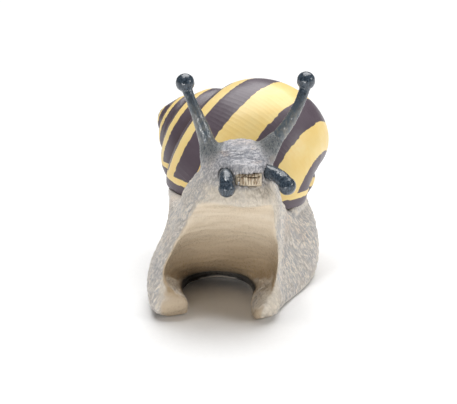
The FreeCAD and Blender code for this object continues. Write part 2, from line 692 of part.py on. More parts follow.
axle_rod = cylinder("axle_rod", "axle_radius", "axle_length",
                    ("reel_x - axle_length / 2", "reel_y", "reel_z"), "x")
axle = doc.addObject("Part::Chamfer", "axle_chamfered")
axle.Base = axle_rod
doc.recompute()
rims = [index for index, edge in enumerate(axle_rod.Shape.Edges, start=1)
        if isinstance(edge.Curve, Part.Circle)]
axle.Edges = [(index, 0.4, 0.4) for index in rims]
node("hub_axle", axle)


def ring(name, inner, outer):
    """Ring as wide as the tape, around the reel's axis."""
    solid = cylinder(name + "_outer", outer, "tape_width",
                     ("reel_x - tape_width / 2", "reel_y", "reel_z"), "x")
    hollow = cylinder(name + "_inner", inner, "tape_width + 2",
                      ("reel_x - tape_width / 2 - 1", "reel_y", "reel_z"), "x")
    return cut(name, solid, hollow)


node("roll_core", ring("core_ring", "core_inner_radius", "core_outer_radius"))
node("tape_roll", ring("tape_ring", "core_outer_radius", "tape_radius"))


# ---------------------------------------------------------------- guide roller

roller_blank = cylinder("roller_blank", "roller_radius", "roller_length",
                        ("reel_x - roller_length / 2", "roller_y", "roller_z"), "x")
roller_bore = cylinder("roller_bore", "roller_pin_radius + running_gap", "40",
                       ("reel_x - 20", "roller_y", "roller_z"), "x")
node("guide_roller", cut("guide_roller_solid", roller_blank, roller_bore))
roller_pin = cylinder("roller_pin_rod", "roller_pin_radius", "roller_pin_length",
                      ("reel_x - roller_pin_length / 2", "roller_y", "roller_z"), "x")
node("roller_pin", roller_pin)


# ---------------------------------------------------------------- tape lead

def tape_profile(x):
    """Side outline of the tape from the reel, under the roller, to the cutter."""
    thickness = value("tape_thickness")
    roll_side = REEL_Y + value("tape_radius") + value("tape_gap")
    inner = value("roller_radius") + value("tape_gap")
    outer = inner + thickness
    end_y = value("tape_end_y")
    leave = math.radians(270 - value("tape_slope_deg"))
    bend = math.radians(225)

    def around(radius, angle):
        return Vector(x, ROLLER_Y + radius * math.cos(angle), ROLLER_Z + radius * math.sin(angle))

    top_outer = Vector(x, roll_side, REEL_Z)
    top_inner = Vector(x, ROLLER_Y - inner, REEL_Z)
    end_outer = Vector(x, end_y, tape_under(end_y))
    end_inner = Vector(x, end_y + thickness * SLOPE_SIN, tape_under(end_y) + thickness * SLOPE_COS)
    edges = [
        Part.LineSegment(top_outer, around(outer, math.pi)).toShape(),
        Part.Arc(around(outer, math.pi), around(outer, bend), around(outer, leave)).toShape(),
        Part.LineSegment(around(outer, leave), end_outer).toShape(),
        Part.LineSegment(end_outer, end_inner).toShape(),
        Part.LineSegment(end_inner, around(inner, leave)).toShape(),
        Part.Arc(around(inner, leave), around(inner, bend), around(inner, math.pi)).toShape(),
        Part.LineSegment(around(inner, math.pi), top_inner).toShape(),
        Part.LineSegment(top_inner, top_outer).toShape(),
    ]
    return Part.Wire(edges)


lead_outline = doc.addObject("Part::Feature", "tape_lead_outline")
lead_outline.Shape = tape_profile(REEL_X - value("tape_width") / 2)
lead = doc.addObject("Part::Extrusion", "tape_lead_strip")
lead.Base = lead_outline
lead.DirMode = "Custom"
lead.Dir = Vector(1, 0, 0)
lead.Solid = True
lead.setExpression("LengthFwd", "dims.tape_width")
node("tape_lead", lead)


# ---------------------------------------------------------------- cutter

CUTTER_LEFT = REEL_X - value("cutter_half_width")
FRONT_Y = value("cutter_front_y")
REAR_Y = value("cutter_rear_y")
BOTTOM = value("cutter_bottom")
table_drop = 0.15
cutter_profile = [(CUTTER_LEFT, FRONT_Y, BOTTOM), (CUTTER_LEFT, REAR_Y, BOTTOM),
                  (CUTTER_LEFT, REAR_Y, tape_under(REAR_Y) - table_drop),
                  (CUTTER_LEFT, FRONT_Y, tape_under(FRONT_Y) - table_drop)]
cutter_blank = polygon_prism("cutter_blank", cutter_profile, "2 * cutter_half_width", (1, 0, 0))
grooves = []
for index in range(4):
    x = REEL_X - 7.7 + index * 4.4
    low = tape_under(FRONT_Y + 2) - 0.8
    high = tape_under(REAR_Y - 3) - 0.8
    profile = [(x, FRONT_Y + 2, low), (x, REAR_Y - 3, high),
               (x, REAR_Y - 3, high + 4), (x, FRONT_Y + 2, low + 4)]
    grooves.append(polygon_prism("cutter_groove_%d" % index, profile, "2.2", (1, 0, 0)))
BLADE_SCREWS = (-7, 7)
blade_bores = [cylinder("blade_bore_%d" % i, "small_screw_radius", "8",
                        ("reel_x + %g" % dx, "cutter_rear_y - 6", 19), "y")
               for i, dx in enumerate(BLADE_SCREWS)]
node("cutter_block", cut("cutter_block_solid", cutter_blank, *(grooves + blade_bores)))

BLADE_LEFT = REEL_X - value("blade_half_width")
TOOTH_TOP = tape_under(REAR_Y + value("blade_thickness")) - 0.1
TOOTH_HEIGHT = 1.0
PITCH = value("tooth_pitch")
teeth = int(2 * value("blade_half_width") / PITCH)
blade_points = [(BLADE_LEFT, REAR_Y, BOTTOM + 0.3)]
for tooth in range(teeth):
    x = BLADE_LEFT + tooth * PITCH
    blade_points.append((x, REAR_Y, TOOTH_TOP - TOOTH_HEIGHT))
    blade_points.append((x + PITCH / 2, REAR_Y, TOOTH_TOP))
blade_points.append((BLADE_LEFT + teeth * PITCH, REAR_Y, TOOTH_TOP - TOOTH_HEIGHT))
blade_points.append((BLADE_LEFT + teeth * PITCH, REAR_Y, BOTTOM + 0.3))
blade_blank = polygon_prism("blade_blank", blade_points, "blade_thickness", (0, 1, 0))
blade_holes = [cylinder("blade_hole_%d" % i, "small_screw_radius + 0.1", "4",
                        ("reel_x + %g" % dx, "cutter_rear_y - 1", 19), "y")
               for i, dx in enumerate(BLADE_SCREWS)]
node("cutter_blade", cut("cutter_blade_solid", blade_blank, *blade_holes))

blade_screw_list = []
for i, dx in enumerate(BLADE_SCREWS):
    shank = cylinder("blade_screw_shank_%d" % i, "small_screw_radius", "5.6",
                     ("reel_x + %g" % dx, "cutter_rear_y - 5", 19), "y")
    head = cylinder("blade_screw_head_%d" % i, "small_head_radius", "small_head_height",
                    ("reel_x + %g" % dx, "cutter_rear_y + blade_thickness", 19), "y")
    blade_screw_list.append(fuse("blade_screw_%d" % i, shank, head))
node("blade_screws", group("blade_screws_group", *blade_screw_list))


# ---------------------------------------------------------------- hinge

LUG_STARTS = (-21.0, 13.0)
lugs = [rim_block("lug_%d" % i, ("8", "hinge_y - 58", "leaf_thickness"), (REEL_X + start, LUG_Y, -2.15))
        for i, start in enumerate(LUG_STARTS)]
lug_barrels = [cylinder("lug_barrel_%d" % i, "knuckle_radius", "8",
                        ("reel_x + %g" % start, "hinge_y", "hinge_z"), "x")
               for i, start in enumerate(LUG_STARTS)]
pin_hole = cylinder("pin_hole", "hinge_pin_radius", "60", ("reel_x - 30", "hinge_y", "hinge_z"), "x")
lug_bores = [rim_cylinder("lug_bore_%d" % i, "small_screw_radius + 0.1", "10",
                          (REEL_X + side * 17, 61.5, -6.0))
             for i, side in enumerate((-1, 1))]
lug_sinks = [rim_cylinder("lug_sink_%d" % i, "small_head_radius + 0.1", "3",
                          (REEL_X + side * 17, 61.5, -1.15))
             for i, side in enumerate((-1, 1))]
base_leaves = []
for i in range(2):
    solid = fuse("base_leaf_solid_%d" % i, lugs[i], lug_barrels[i])
    base_leaves.append(cut("base_leaf_%d" % i, solid, pin_hole, lug_bores[i], lug_sinks[i]))
node("hinge_leaf_base", group("hinge_leaf_base_group", *base_leaves))

base_hinge_screws = []
for i, side in enumerate((-1, 1)):
    head = rim_cylinder("hinge_screw_head_%d" % i, "small_head_radius", "small_head_height",
                        (REEL_X + side * 17, 61.5, -1.15))
    shank = rim_cylinder("hinge_screw_shank_%d" % i, "small_screw_radius", "6",
                         (REEL_X + side * 17, 61.5, -7.15))
    base_hinge_screws.append(fuse("hinge_screw_%d" % i, head, shank))
node("hinge_screws_base", group("hinge_screws_base_group", *base_hinge_screws))

pin_rod = cylinder("hinge_pin_rod", "hinge_pin_radius", "2 * base_knuckle_half + 0.4",
                   ("reel_x - base_knuckle_half - 0.2", "hinge_y", "hinge_z"), "x")
node("hinge_pin", pin_rod)

LEAF_FRONT = 58.5
lid_leaf_plate = rim_block("lid_leaf_plate", ("23", "hinge_y - 58.5", "leaf_thickness"),
                           (REEL_X - 11.5, LEAF_FRONT, value("rim_gap")))
lid_barrel = cylinder("lid_barrel", "knuckle_radius", "2 * lid_knuckle_half",
                      ("reel_x - lid_knuckle_half", "hinge_y", "hinge_z"), "x")
lid_pin_hole = cylinder("lid_pin_hole", "hinge_pin_radius + running_gap", "60",
                        ("reel_x - 30", "hinge_y", "hinge_z"), "x")
LID_SCREWS = (-7, 7)
LID_SCREW_Y = 61.2
lid_leaf_bores = [rim_cylinder("lid_leaf_bore_%d" % i, "small_screw_radius + 0.1", "6",
                               (REEL_X + dx, LID_SCREW_Y, -1))
                  for i, dx in enumerate(LID_SCREWS)]
lid_leaf_sinks = [rim_cylinder("lid_leaf_sink_%d" % i, "small_head_radius + 0.1", "3",
                               (REEL_X + dx, LID_SCREW_Y, value("rim_gap") - 2.0))
                  for i, dx in enumerate(LID_SCREWS)]
lid_leaf_solid = fuse("lid_leaf_solid", lid_leaf_plate, lid_barrel)
node("hinge_leaf_shell", cut("hinge_leaf_shell_solid", lid_leaf_solid, lid_pin_hole,
                             *(lid_leaf_bores + lid_leaf_sinks)))

lid_screw_list = []
for i, dx in enumerate(LID_SCREWS):
    head = rim_cylinder("lid_screw_head_%d" % i, "small_head_radius", "small_head_height",
                        (REEL_X + dx, LID_SCREW_Y, value("rim_gap") + 0.05))
    shank = rim_cylinder("lid_screw_shank_%d" % i, "small_screw_radius", "5.5",
                         (REEL_X + dx, LID_SCREW_Y, value("rim_gap") + 0.95))
    lid_screw_list.append(fuse("lid_screw_%d" % i, head, shank))
node("hinge_screws_shell", group("hinge_screws_shell_group", *lid_screw_list))


# ---------------------------------------------------------------- catch and stops

magnet_low = rim_cylinder("magnet_low", "magnet_radius", "magnet_length",
                          (0, value("magnet_y"), -value("rim_gap") - value("magnet_length")))
node("casing_magnet", magnet_low)
magnet_high = rim_cylinder("magnet_high", "magnet_radius", "magnet_length",
                           (0, value("magnet_y"), value("rim_gap")))
node("shell_magnet", magnet_high)
bumpers = [rim_cylinder("bumper_%d" % i, "bumper_radius", "1.45", (u, y, -1.4))
           for i, (u, y) in enumerate(BUMPERS)]
node("lid_bumpers", group("lid_bumpers_group", *bumpers))


# ---------------------------------------------------------------- shell

CAVITY_BASE = 35.0
shell_outside = shell_loft("shell_outside", 1.0, 1.0)
shell_cavity = shell_loft("shell_cavity", value("cavity_scale"), value("cavity_height_scale"), CAVITY_BASE)
shell_trim = rim_block("shell_trim", ("240", "240", "60"), (-120, -120, value("rim_gap") - 60))
leaf_recess = rim_block("leaf_recess", ("23.2", "20", "leaf_thickness + 0.05"),
                        (REEL_X - 11.6, LEAF_FRONT - 0.1, value("rim_gap")))
lid_screw_holes = [rim_cylinder("lid_screw_hole_%d" % i, "small_screw_radius", "6.6",
                                (REEL_X + dx, LID_SCREW_Y, 0)) for i, dx in enumerate(LID_SCREWS)]
shell_magnet_seat = rim_cylinder("shell_magnet_seat", "magnet_radius", "magnet_length + 2",
                                 (0, value("magnet_y"), value("rim_gap") - 2))
base_leaf_room = [rim_block("base_leaf_room_%d" % i, ("8.6", "12", "3"),
                            (REEL_X + start - 0.3, 62.5, value("rim_gap") - 1))
                  for i, start in enumerate(LUG_STARTS)]
node("snail_shell", cut("snail_shell_solid", shell_outside, shell_cavity, shell_trim, leaf_recess,
                        shell_magnet_seat, *(lid_screw_holes + base_leaf_room)))


# ---------------------------------------------------------------- checks and files

doc.recompute()
faults = []
for obj in doc.Objects:
    if "Invalid" in obj.State or "Error" in obj.State:
        faults.append("%s is in state %s" % (obj.Label, obj.State))
for obj in nodes:
    if obj.Shape.isNull() or not obj.Shape.isValid() or obj.Shape.Volume <= 0:
        faults.append("%s has no sound shape" % obj.Label)
if faults:
    raise RuntimeError("; ".join(faults))

os.makedirs("parts", exist_ok=True)
for obj in nodes:
    obj.Shape.exportStep("parts/%s.step" % obj.Label)
    box = obj.Shape.BoundBox
    print("%-20s solids %d  volume %9.1f  x %.1f..%.1f  y %.1f..%.1f  z %.1f..%.1f" % (
        obj.Label, len(obj.Shape.Solids), obj.Shape.Volume,
        box.XMin, box.XMax, box.YMin, box.YMax, box.ZMin, box.ZMax))
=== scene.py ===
"""Looks of the snail tape dispenser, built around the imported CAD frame."""

import json
import math

import bmesh
import bpy
import numpy as np
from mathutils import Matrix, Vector


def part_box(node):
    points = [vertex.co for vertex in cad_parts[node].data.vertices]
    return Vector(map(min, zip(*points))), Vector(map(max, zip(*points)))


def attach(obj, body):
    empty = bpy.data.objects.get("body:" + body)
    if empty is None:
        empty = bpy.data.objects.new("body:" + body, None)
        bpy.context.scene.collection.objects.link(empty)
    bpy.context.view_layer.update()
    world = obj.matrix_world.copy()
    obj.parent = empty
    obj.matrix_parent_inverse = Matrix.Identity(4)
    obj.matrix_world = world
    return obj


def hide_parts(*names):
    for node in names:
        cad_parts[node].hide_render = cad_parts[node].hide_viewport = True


MM = 0.001
TINY = 1e-9
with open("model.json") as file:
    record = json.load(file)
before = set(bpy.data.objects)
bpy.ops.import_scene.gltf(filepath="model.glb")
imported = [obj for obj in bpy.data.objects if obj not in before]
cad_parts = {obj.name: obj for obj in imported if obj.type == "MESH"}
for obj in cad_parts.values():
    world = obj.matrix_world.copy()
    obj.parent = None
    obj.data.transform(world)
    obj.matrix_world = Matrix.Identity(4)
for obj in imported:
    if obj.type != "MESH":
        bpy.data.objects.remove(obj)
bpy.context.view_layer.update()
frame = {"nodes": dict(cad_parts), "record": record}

# The casing and the shell part on the plane z = RIM_HEIGHT - RIM_SLOPE * x, in millimetres.
RIM_HEIGHT = 42.3
RIM_SLOPE = 0.08
# The reel, roller and hinge share the middle plane x = REEL_X.
REEL_X = 2


# ---------------------------------------------------------------- arrays and noise

def smoothstep(low, high, value):
    """0 at low, 1 at high and smooth between. It falls where low is more than high."""
    t = np.clip((value - low) / (high - low), 0, 1)
    return t * t * (3 - 2 * t)


def hashed(cell, seed):
    """Repeatable number from 0 to 1 for each whole-number cell."""
    mixed = cell[..., 0] * 374761393 + cell[..., 1] * 668265263 + cell[..., 2] * 2147483647
    mixed = (mixed + seed * 1274126177) & 0xFFFFFFFF
    mixed = ((mixed ^ (mixed >> 13)) * 1274126177) & 0xFFFFFFFF
    return ((mixed ^ (mixed >> 16)) & 0xFFFFFF) / 0xFFFFFF


def soft_noise(at, seed=0):
    """Smooth noise from -1 to 1, with one cell per unit."""
    base = np.floor(at).astype(np.int64)
    part = at - base
    part = part * part * (3 - 2 * part)
    total = np.zeros(len(at))
    for corner in np.ndindex(2, 2, 2):
        share = np.prod(np.where(corner, part, 1 - part), axis=1)
        total += share * hashed(base + np.array(corner), seed)
    return 2 * total - 1


def cells(at, seed=0):
    """Distances from each point to the nearest two of a scatter of centres, one per unit."""
    base = np.floor(at).astype(np.int64)
    near = np.full(len(at), 9.0)
    second = near.copy()
    for step in np.ndindex(3, 3, 3):
        cell = base + np.array(step) - 1
        centre = cell + np.stack([hashed(cell, seed + k) for k in (1, 2, 3)], axis=1)
        far = np.linalg.norm(centre - at, axis=1)
        second = np.minimum(second, np.maximum(near, far))
        near = np.minimum(near, far)
    return near, second


# ---------------------------------------------------------------- meshes

def points(mesh):
    """A mesh's vertices in millimetres."""
    flat = np.empty(len(mesh.vertices) * 3, np.float32)
    mesh.vertices.foreach_get("co", flat)
    return flat.reshape(-1, 3).astype(float) / MM


def set_points(mesh, at):
    """Move a mesh's vertices to places in millimetres."""
    mesh.vertices.foreach_set("co", (at * MM).astype(np.float32).ravel())
    mesh.update()


def normals(mesh):
    flat = np.empty(len(mesh.vertices) * 3, np.float32)
    mesh.vertex_normals.foreach_get("vector", flat)
    return flat.reshape(-1, 3).astype(float)


def store(mesh, name, values):
    """Keep one number per vertex where materials can read it."""
    layer = mesh.attributes.new(name, "FLOAT", "POINT")
    layer.data.foreach_set("value", np.asarray(values, np.float32))


def store_place(mesh, name, at):
    """Keep one place per vertex, in millimetres, where materials can read it in metres."""
    layer = mesh.attributes.new(name, "FLOAT_VECTOR", "POINT")
    layer.data.foreach_set("vector", (at * MM).astype(np.float32).ravel())


def relaxed(mesh, at, rounds, weight):
    """Points after rounds of averaging with their neighbours, by each point's own weight."""
    pair = np.empty(len(mesh.edges) * 2, np.int32)
    mesh.edges.foreach_get("vertices", pair)
    one, two = pair.reshape(-1, 2).T
    size = len(at)
    count = np.bincount(pair, minlength=size).astype(float)
    for _ in range(rounds):
        mean = np.empty_like(at)
        for axis in range(3):
            mean[:, axis] = np.bincount(one, at[two, axis], size) + np.bincount(two, at[one, axis], size)
        mean /= count[:, None]
        at = at + (0.5 * weight)[:, None] * (mean - at)
    return at


def new_object(name, data):
    made = bpy.data.objects.new(name, data)
    bpy.context.scene.collection.objects.link(made)
    return made


def welded(*nodes):
    """One bmesh of some CAD nodes, with the doubled points along their faces' edges joined."""
    joined = bmesh.new()
    for name in nodes:
        joined.from_mesh(frame["nodes"][name].data)
    bmesh.ops.remove_doubles(joined, verts=joined.verts, dist=0.002 * MM)
    return joined


def remeshed(name, source, voxel):
    """An even mesh of a closed bmesh, with all that overlaps in it merged."""
    mesh = bpy.data.meshes.new(name)
    source.to_mesh(mesh)
    source.free()
    made = new_object(name, mesh)
    even = made.modifiers.new("even", "REMESH")
    even.mode = "VOXEL"
    even.voxel_size = voxel * MM
    even.use_smooth_shade = True
    graph = bpy.context.evaluated_depsgraph_get()
    made.data = bpy.data.meshes.new_from_object(made.evaluated_get(graph))
    made.modifiers.clear()
    bpy.data.meshes.remove(mesh)
    return made


def finished(made, body, slot, paint, *replaced):
    """Paint a piece and let it ride, in place of its CAD nodes."""
    made.data.materials.clear()
    made.data.materials.append(paint)
    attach(made, body)
    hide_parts(*replaced)
    return made


# ---------------------------------------------------------------- material helpers

def srgb(red, green, blue):
    """Linear colour from the 0 to 1 values that a screen shows."""
    linear = [((c + 0.055) / 1.055) ** 2.4 if c > 0.04 else c / 12.92 for c in (red, green, blue)]
    return (*linear, 1)


class Paint:
    """A node material under construction. Its methods return sockets."""

    def __init__(self, name):
        self.material = bpy.data.materials.new(name)
        self.material.use_nodes = True
        self.tree = self.material.node_tree
        self.shader = self.tree.nodes["Principled BSDF"]
        self.place = self.tree.nodes.new("ShaderNodeTexCoord").outputs["Object"]

    def node(self, kind, inputs=(), **settings):
        made = self.tree.nodes.new(kind)
        for key, value in settings.items():
            setattr(made, key, value)
        for key, value in dict(inputs).items():
            self.join(value, made.inputs[key])
        return made

    def join(self, value, socket):
        if isinstance(value, bpy.types.NodeSocket):
            self.tree.links.new(value, socket)
        else:
            socket.default_value = value

    def set(self, **inputs):
        for key, value in inputs.items():
            self.join(value, self.shader.inputs[key.replace("_", " ")])

    def mark(self, name):
        """The number per vertex that store() kept under this name."""
        return self.node("ShaderNodeAttribute", attribute_name=name).outputs["Fac"]

    def noise(self, per_mm, detail, rough, twist=0.0):
        """Noise with so many cells per millimetre along each axis."""
        scale = [rate / MM for rate in per_mm]
        cell = self.node("ShaderNodeMapping", {"Vector": self.place, "Scale": scale}).outputs["Vector"]
        inputs = {"Vector": cell, "Scale": 1.0, "Detail": detail, "Roughness": rough, "Distortion": twist}
        return self.node("ShaderNodeTexNoise", inputs).outputs["Fac"]

    def sums(self, kind, one, two):
        made = self.node("ShaderNodeMath", operation=kind)
        self.join(one, made.inputs[0])
        self.join(two, made.inputs[1])
        return made.outputs[0]

    def fit(self, value, low, high, to_low=0.0, to_high=1.0):
        """A smooth step from to_low to to_high as the value goes from low to high."""
        inputs = {"Value": value, "From Min": low, "From Max": high, "To Min": to_low, "To Max": to_high}
        return self.node("ShaderNodeMapRange", inputs, interpolation_type="SMOOTHSTEP").outputs["Result"]

    def blend(self, share, one, two):
        """The first colour where share is 0 and the second where it is 1."""
        made = self.node("ShaderNodeMix", data_type="RGBA")
        self.join(share, made.inputs[0])
        self.join(one, made.inputs[6])
        self.join(two, made.inputs[7])
        return made.outputs[2]

    def bump(self, height, depth, below=None):
        """A relief that is depth millimetres high where height runs from 0 to 1."""
        inputs = {"Height": height, "Strength": 1.0, "Distance": depth * MM}
        if below is not None:
            inputs["Normal"] = below
        return self.node("ShaderNodeBump", inputs).outputs["Normal"]


# ---------------------------------------------------------------- materials of the snail

def skin_colour(p, grain, strokes):
    """Pale tubercles in blue-grey grooves, slate on the head and dark at the roots of the stalks."""
    slate = p.mark("slate")
    patches = p.noise((0.1, 0.1, 0.06), 4, 0.6, 0.6)
    tops = p.blend(p.fit(patches, 0.35, 0.65), srgb(0.95, 0.905, 0.84), srgb(0.90, 0.875, 0.84))
    tops = p.blend(slate, tops, srgb(0.82, 0.81, 0.82))
    tops = p.blend(p.mark("warm"), tops, srgb(0.84, 0.71, 0.58))
    grooves = p.blend(p.fit(patches, 0.4, 0.65), srgb(0.62, 0.63, 0.655), srgb(0.70, 0.655, 0.61))
    grooves = p.blend(slate, grooves, srgb(0.44, 0.46, 0.50))
    height = p.fit(p.mark("relief"), 0.05, 0.8, 0.34, 1.0)
    height = p.sums("MULTIPLY", height, p.fit(strokes, 0.36, 0.52, 0.4, 1.0))
    height = p.sums("MULTIPLY", height, p.fit(grain, 0.25, 0.6, 0.7, 1.05))
    skin = p.blend(height, grooves, tops)
    skin = p.blend(p.sums("MULTIPLY", p.mark("pale"), 0.62), skin, srgb(0.89, 0.84, 0.76))
    wet = p.blend(p.fit(strokes, 0.36, 0.52), srgb(0.25, 0.29, 0.32), srgb(0.46, 0.47, 0.47))
    return p.blend(p.mark("root"), skin, wet)


def sole_colour(p):
    """Rippled tan with painted shade: darker towards the desk and nearly black at the inner end of the
    arch.
    """
    depth = p.mark("depth")
    # Painted shade: the tan darkens towards the desk.
    low = p.fit(depth, 0.05, 0.8)
    tan = p.blend(low, srgb(0.88, 0.82, 0.73), srgb(0.66, 0.57, 0.45))
    crests = p.blend(low, srgb(0.83, 0.76, 0.66), srgb(0.72, 0.63, 0.51))
    ripples = p.fit(p.noise((0.05, 0.05, 0.45), 3, 0.6, 0.8), 0.35, 0.7, 0.0, 0.7)
    tan = p.blend(ripples, tan, crests)
    # Painted shade: nearly black in the cave at the arch's inner end.
    return p.blend(p.fit(depth, 0.8, 0.95), tan, srgb(0.15, 0.125, 0.10))


def skin_paint():
    """Painted resin skin with a glossy sole. Its strokes follow the slope of the body."""
    p = Paint("snail_skin")
    p.place = p.node("ShaderNodeAttribute", attribute_name="flow").outputs["Vector"]
    sole = p.mark("sole")
    grain = p.noise((1.6, 1.6, 0.6), 4, 0.65)
    strokes = p.noise((1.45, 1.45, 0.34), 3, 0.6, 0.35)
    p.set(Base_Color=p.blend(sole, skin_colour(p, grain, strokes), sole_colour(p)))
    gloss = p.sums("MULTIPLY", p.sums("MAXIMUM", sole, p.mark("root")), 0.2)
    p.set(Roughness=p.sums("SUBTRACT", p.fit(grain, 0.3, 0.7, 0.42, 0.6), gloss))
    p.set(Coat_Weight=p.fit(sole, 0.0, 1.0, 0.15, 0.45), Coat_Roughness=0.28)
    p.set(Specular_IOR_Level=0.45)
    outside = p.fit(sole, 0.0, 1.0, 1.0, 0.1)
    rough = p.bump(p.sums("MULTIPLY", strokes, outside), 0.55)
    p.set(Normal=p.bump(p.sums("MULTIPLY", grain, outside), 0.05, rough))
    return p.material


def stalk_paint():
    """Wet slate resin, darker and glossier towards the tip."""
    p = Paint("stalk_gloss")
    grain = p.noise((1.4, 1.4, 0.5), 4, 0.65, 0.5)
    blotch = p.noise((0.35, 0.35, 0.16), 3, 0.6, 0.4)
    shaft = p.blend(p.fit(blotch, 0.35, 0.68), srgb(0.35, 0.39, 0.42), srgb(0.53, 0.52, 0.49))
    shaft = p.blend(p.fit(grain, 0.4, 0.75), shaft, srgb(0.26, 0.30, 0.34))
    tip = p.blend(p.fit(grain, 0.35, 0.7), srgb(0.14, 0.18, 0.22), srgb(0.29, 0.34, 0.39))
    towards_tip = p.sums("ADD", p.mark("along"), p.sums("MULTIPLY", blotch, 0.3))
    p.set(Base_Color=p.blend(p.fit(towards_tip, 0.62, 1.05), shaft, tip))
    p.set(Roughness=p.fit(grain, 0.3, 0.7, 0.14, 0.32))
    p.set(Coat_Weight=0.5, Coat_Roughness=0.12)
    p.set(Normal=p.bump(grain, 0.05))
    return p.material


def mouth_paint():
    """Bronze lips with cream ridges, painted shade in the slit and between the ridges, cream where they run
    out into the chin.
    """
    p = Paint("mouth_bronze")
    streak = p.noise((1.5, 0.3, 0.22), 4, 0.6, 0.7)
    grain = p.noise((1.5, 1.5, 1.5), 4, 0.6)
    lips = p.blend(p.fit(streak, 0.36, 0.6), srgb(0.55, 0.43, 0.29), srgb(0.93, 0.87, 0.76))
    # Painted shade: dark brown in the slit and half as dark in the troughs between the ridges.
    lips = p.blend(p.mark("relief"), srgb(0.34, 0.26, 0.18), lips)
    run_out = p.fit(p.sums("ADD", p.mark("edge"), p.sums("MULTIPLY", grain, 0.4)), 0.5, 1.0)
    p.set(Base_Color=p.blend(run_out, lips, srgb(0.85, 0.79, 0.69)))
    p.set(Roughness=p.fit(grain, 0.3, 0.7, 0.14, 0.3), Metallic=0.05)
    p.set(Coat_Weight=0.7, Coat_Roughness=0.08)
    p.set(Normal=p.bump(streak, 0.2, p.bump(grain, 0.04)))
    return p.material


def shell_paint():
    """Satin lacquer: yellow ground, purple-brown spiral bands, growth lines across both, and painted shade
    along the sutures.
    """
    p = Paint("banded_shell")
    growth = p.mark("growth")
    cloud = p.noise((0.07, 0.07, 0.07), 4, 0.6, 0.4)
    grain = p.noise((1.1, 1.1, 1.1), 4, 0.6)
    ground = p.blend(p.fit(cloud, 0.35, 0.7), srgb(0.985, 0.88, 0.60), srgb(0.975, 0.845, 0.53))
    ground = p.blend(p.fit(growth, 0.55, 1.0, 0.0, 0.6), ground, srgb(0.93, 0.76, 0.42))
    dark = p.blend(p.fit(cloud, 0.35, 0.7), srgb(0.375, 0.33, 0.365), srgb(0.34, 0.295, 0.33))
    dark = p.blend(p.fit(growth, 0.5, 1.0, 0.0, 0.85), dark, srgb(0.48, 0.44, 0.46))
    waver = p.sums("MULTIPLY", p.sums("SUBTRACT", grain, 0.5), 0.5)
    edge = p.sums("ADD", p.mark("band"), waver)
    face = p.blend(p.fit(edge, 0.35, 0.65), ground, dark)
    # Painted shade: the sutures between the whorls are darkened.
    face = p.blend(p.sums("MULTIPLY", p.mark("suture"), 0.55), face, srgb(0.33, 0.27, 0.26))
    lining = p.blend(p.fit(grain, 0.3, 0.7), srgb(0.90, 0.86, 0.79), srgb(0.83, 0.78, 0.71))
    p.set(Base_Color=p.blend(p.mark("inside"), face, lining))
    p.set(Roughness=p.fit(grain, 0.3, 0.7, 0.34, 0.5))
    p.set(Coat_Weight=0.15, Coat_Roughness=0.25)
    p.set(Normal=p.bump(grain, 0.02))
    return p.material


# ---------------------------------------------------------------- materials of the hardware

def plastic_paint(name, colour, shade, rough):
    """Moulded plastic with a spark-eroded texture and faint flow marks."""
    p = Paint(name)
    flow = p.noise((0.05, 0.12, 0.05), 3, 0.5, 0.8)
    texture = p.noise((3.0, 3.0, 3.0), 2, 0.6)
    p.set(Base_Color=p.blend(p.fit(flow, 0.3, 0.7), colour, shade))
    p.set(Roughness=p.fit(texture, 0.3, 0.7, rough - 0.07, rough + 0.07))
    p.set(Normal=p.bump(texture, 0.02))
    return p.material


def metal_paint(name, colour, shade, rough, brush):
    """Metal with brush marks at brush cells per millimetre and slightly dull patches."""
    p = Paint(name)
    marks = p.noise(brush, 4, 0.6)
    patch = p.noise((0.18, 0.18, 0.18), 4, 0.6, 0.5)
    p.set(Base_Color=p.blend(p.fit(marks, 0.3, 0.7), colour, shade), Metallic=1.0)
    brushed = p.fit(marks, 0.3, 0.7, rough, rough + 0.14)
    p.set(Roughness=p.sums("ADD", brushed, p.fit(patch, 0.5, 0.8, 0, 0.12)))
    p.set(Normal=p.bump(marks, 0.012))
    return p.material


def rubber_paint():
    """Pebbled rubber, greyed by dust."""
    p = Paint("anti_slip_rubber")
    pebble = p.noise((1.3, 1.3, 1.3), 3, 0.6)
    dust = p.noise((0.12, 0.12, 0.12), 5, 0.65)
    p.set(Base_Color=p.blend(p.fit(dust, 0.45, 0.75), srgb(0.15, 0.15, 0.15), srgb(0.26, 0.25, 0.24)))
    p.set(Roughness=p.fit(pebble, 0.3, 0.7, 0.72, 0.9), Specular_IOR_Level=0.3)
    p.set(Normal=p.bump(pebble, 0.06))
    return p.material


def casting_paint():
    """Sand-cast iron with a coarse skin and a little rust."""
    p = Paint("ballast_casting")
    sand = p.noise((0.9, 0.9, 0.9), 5, 0.7)
    rust = p.noise((0.1, 0.1, 0.1), 5, 0.65, 0.5)
    p.set(Base_Color=p.blend(p.fit(rust, 0.52, 0.72), srgb(0.25, 0.25, 0.26), srgb(0.38, 0.25, 0.17)))
    p.set(Metallic=p.fit(rust, 0.5, 0.7, 0.75, 0.1), Roughness=p.fit(sand, 0.3, 0.7, 0.55, 0.8))
    p.set(Normal=p.bump(sand, 0.12))
    return p.material


def core_paint():
    """Wound cardboard with fibres and faint spiral seams."""
    p = Paint("core_cardboard")
    fibre = p.noise((0.4, 2.4, 2.4), 5, 0.7, 0.4)
    speck = p.noise((1.6, 1.6, 1.6), 2, 0.5)
    card = p.blend(p.fit(fibre, 0.3, 0.7), srgb(0.74, 0.61, 0.45), srgb(0.61, 0.48, 0.33))
    p.set(Base_Color=p.blend(p.fit(speck, 0.66, 0.78), card, srgb(0.42, 0.32, 0.22)))
    p.set(Roughness=0.86, Specular_IOR_Level=0.25)
    p.set(Normal=p.bump(fibre, 0.05))
    return p.material


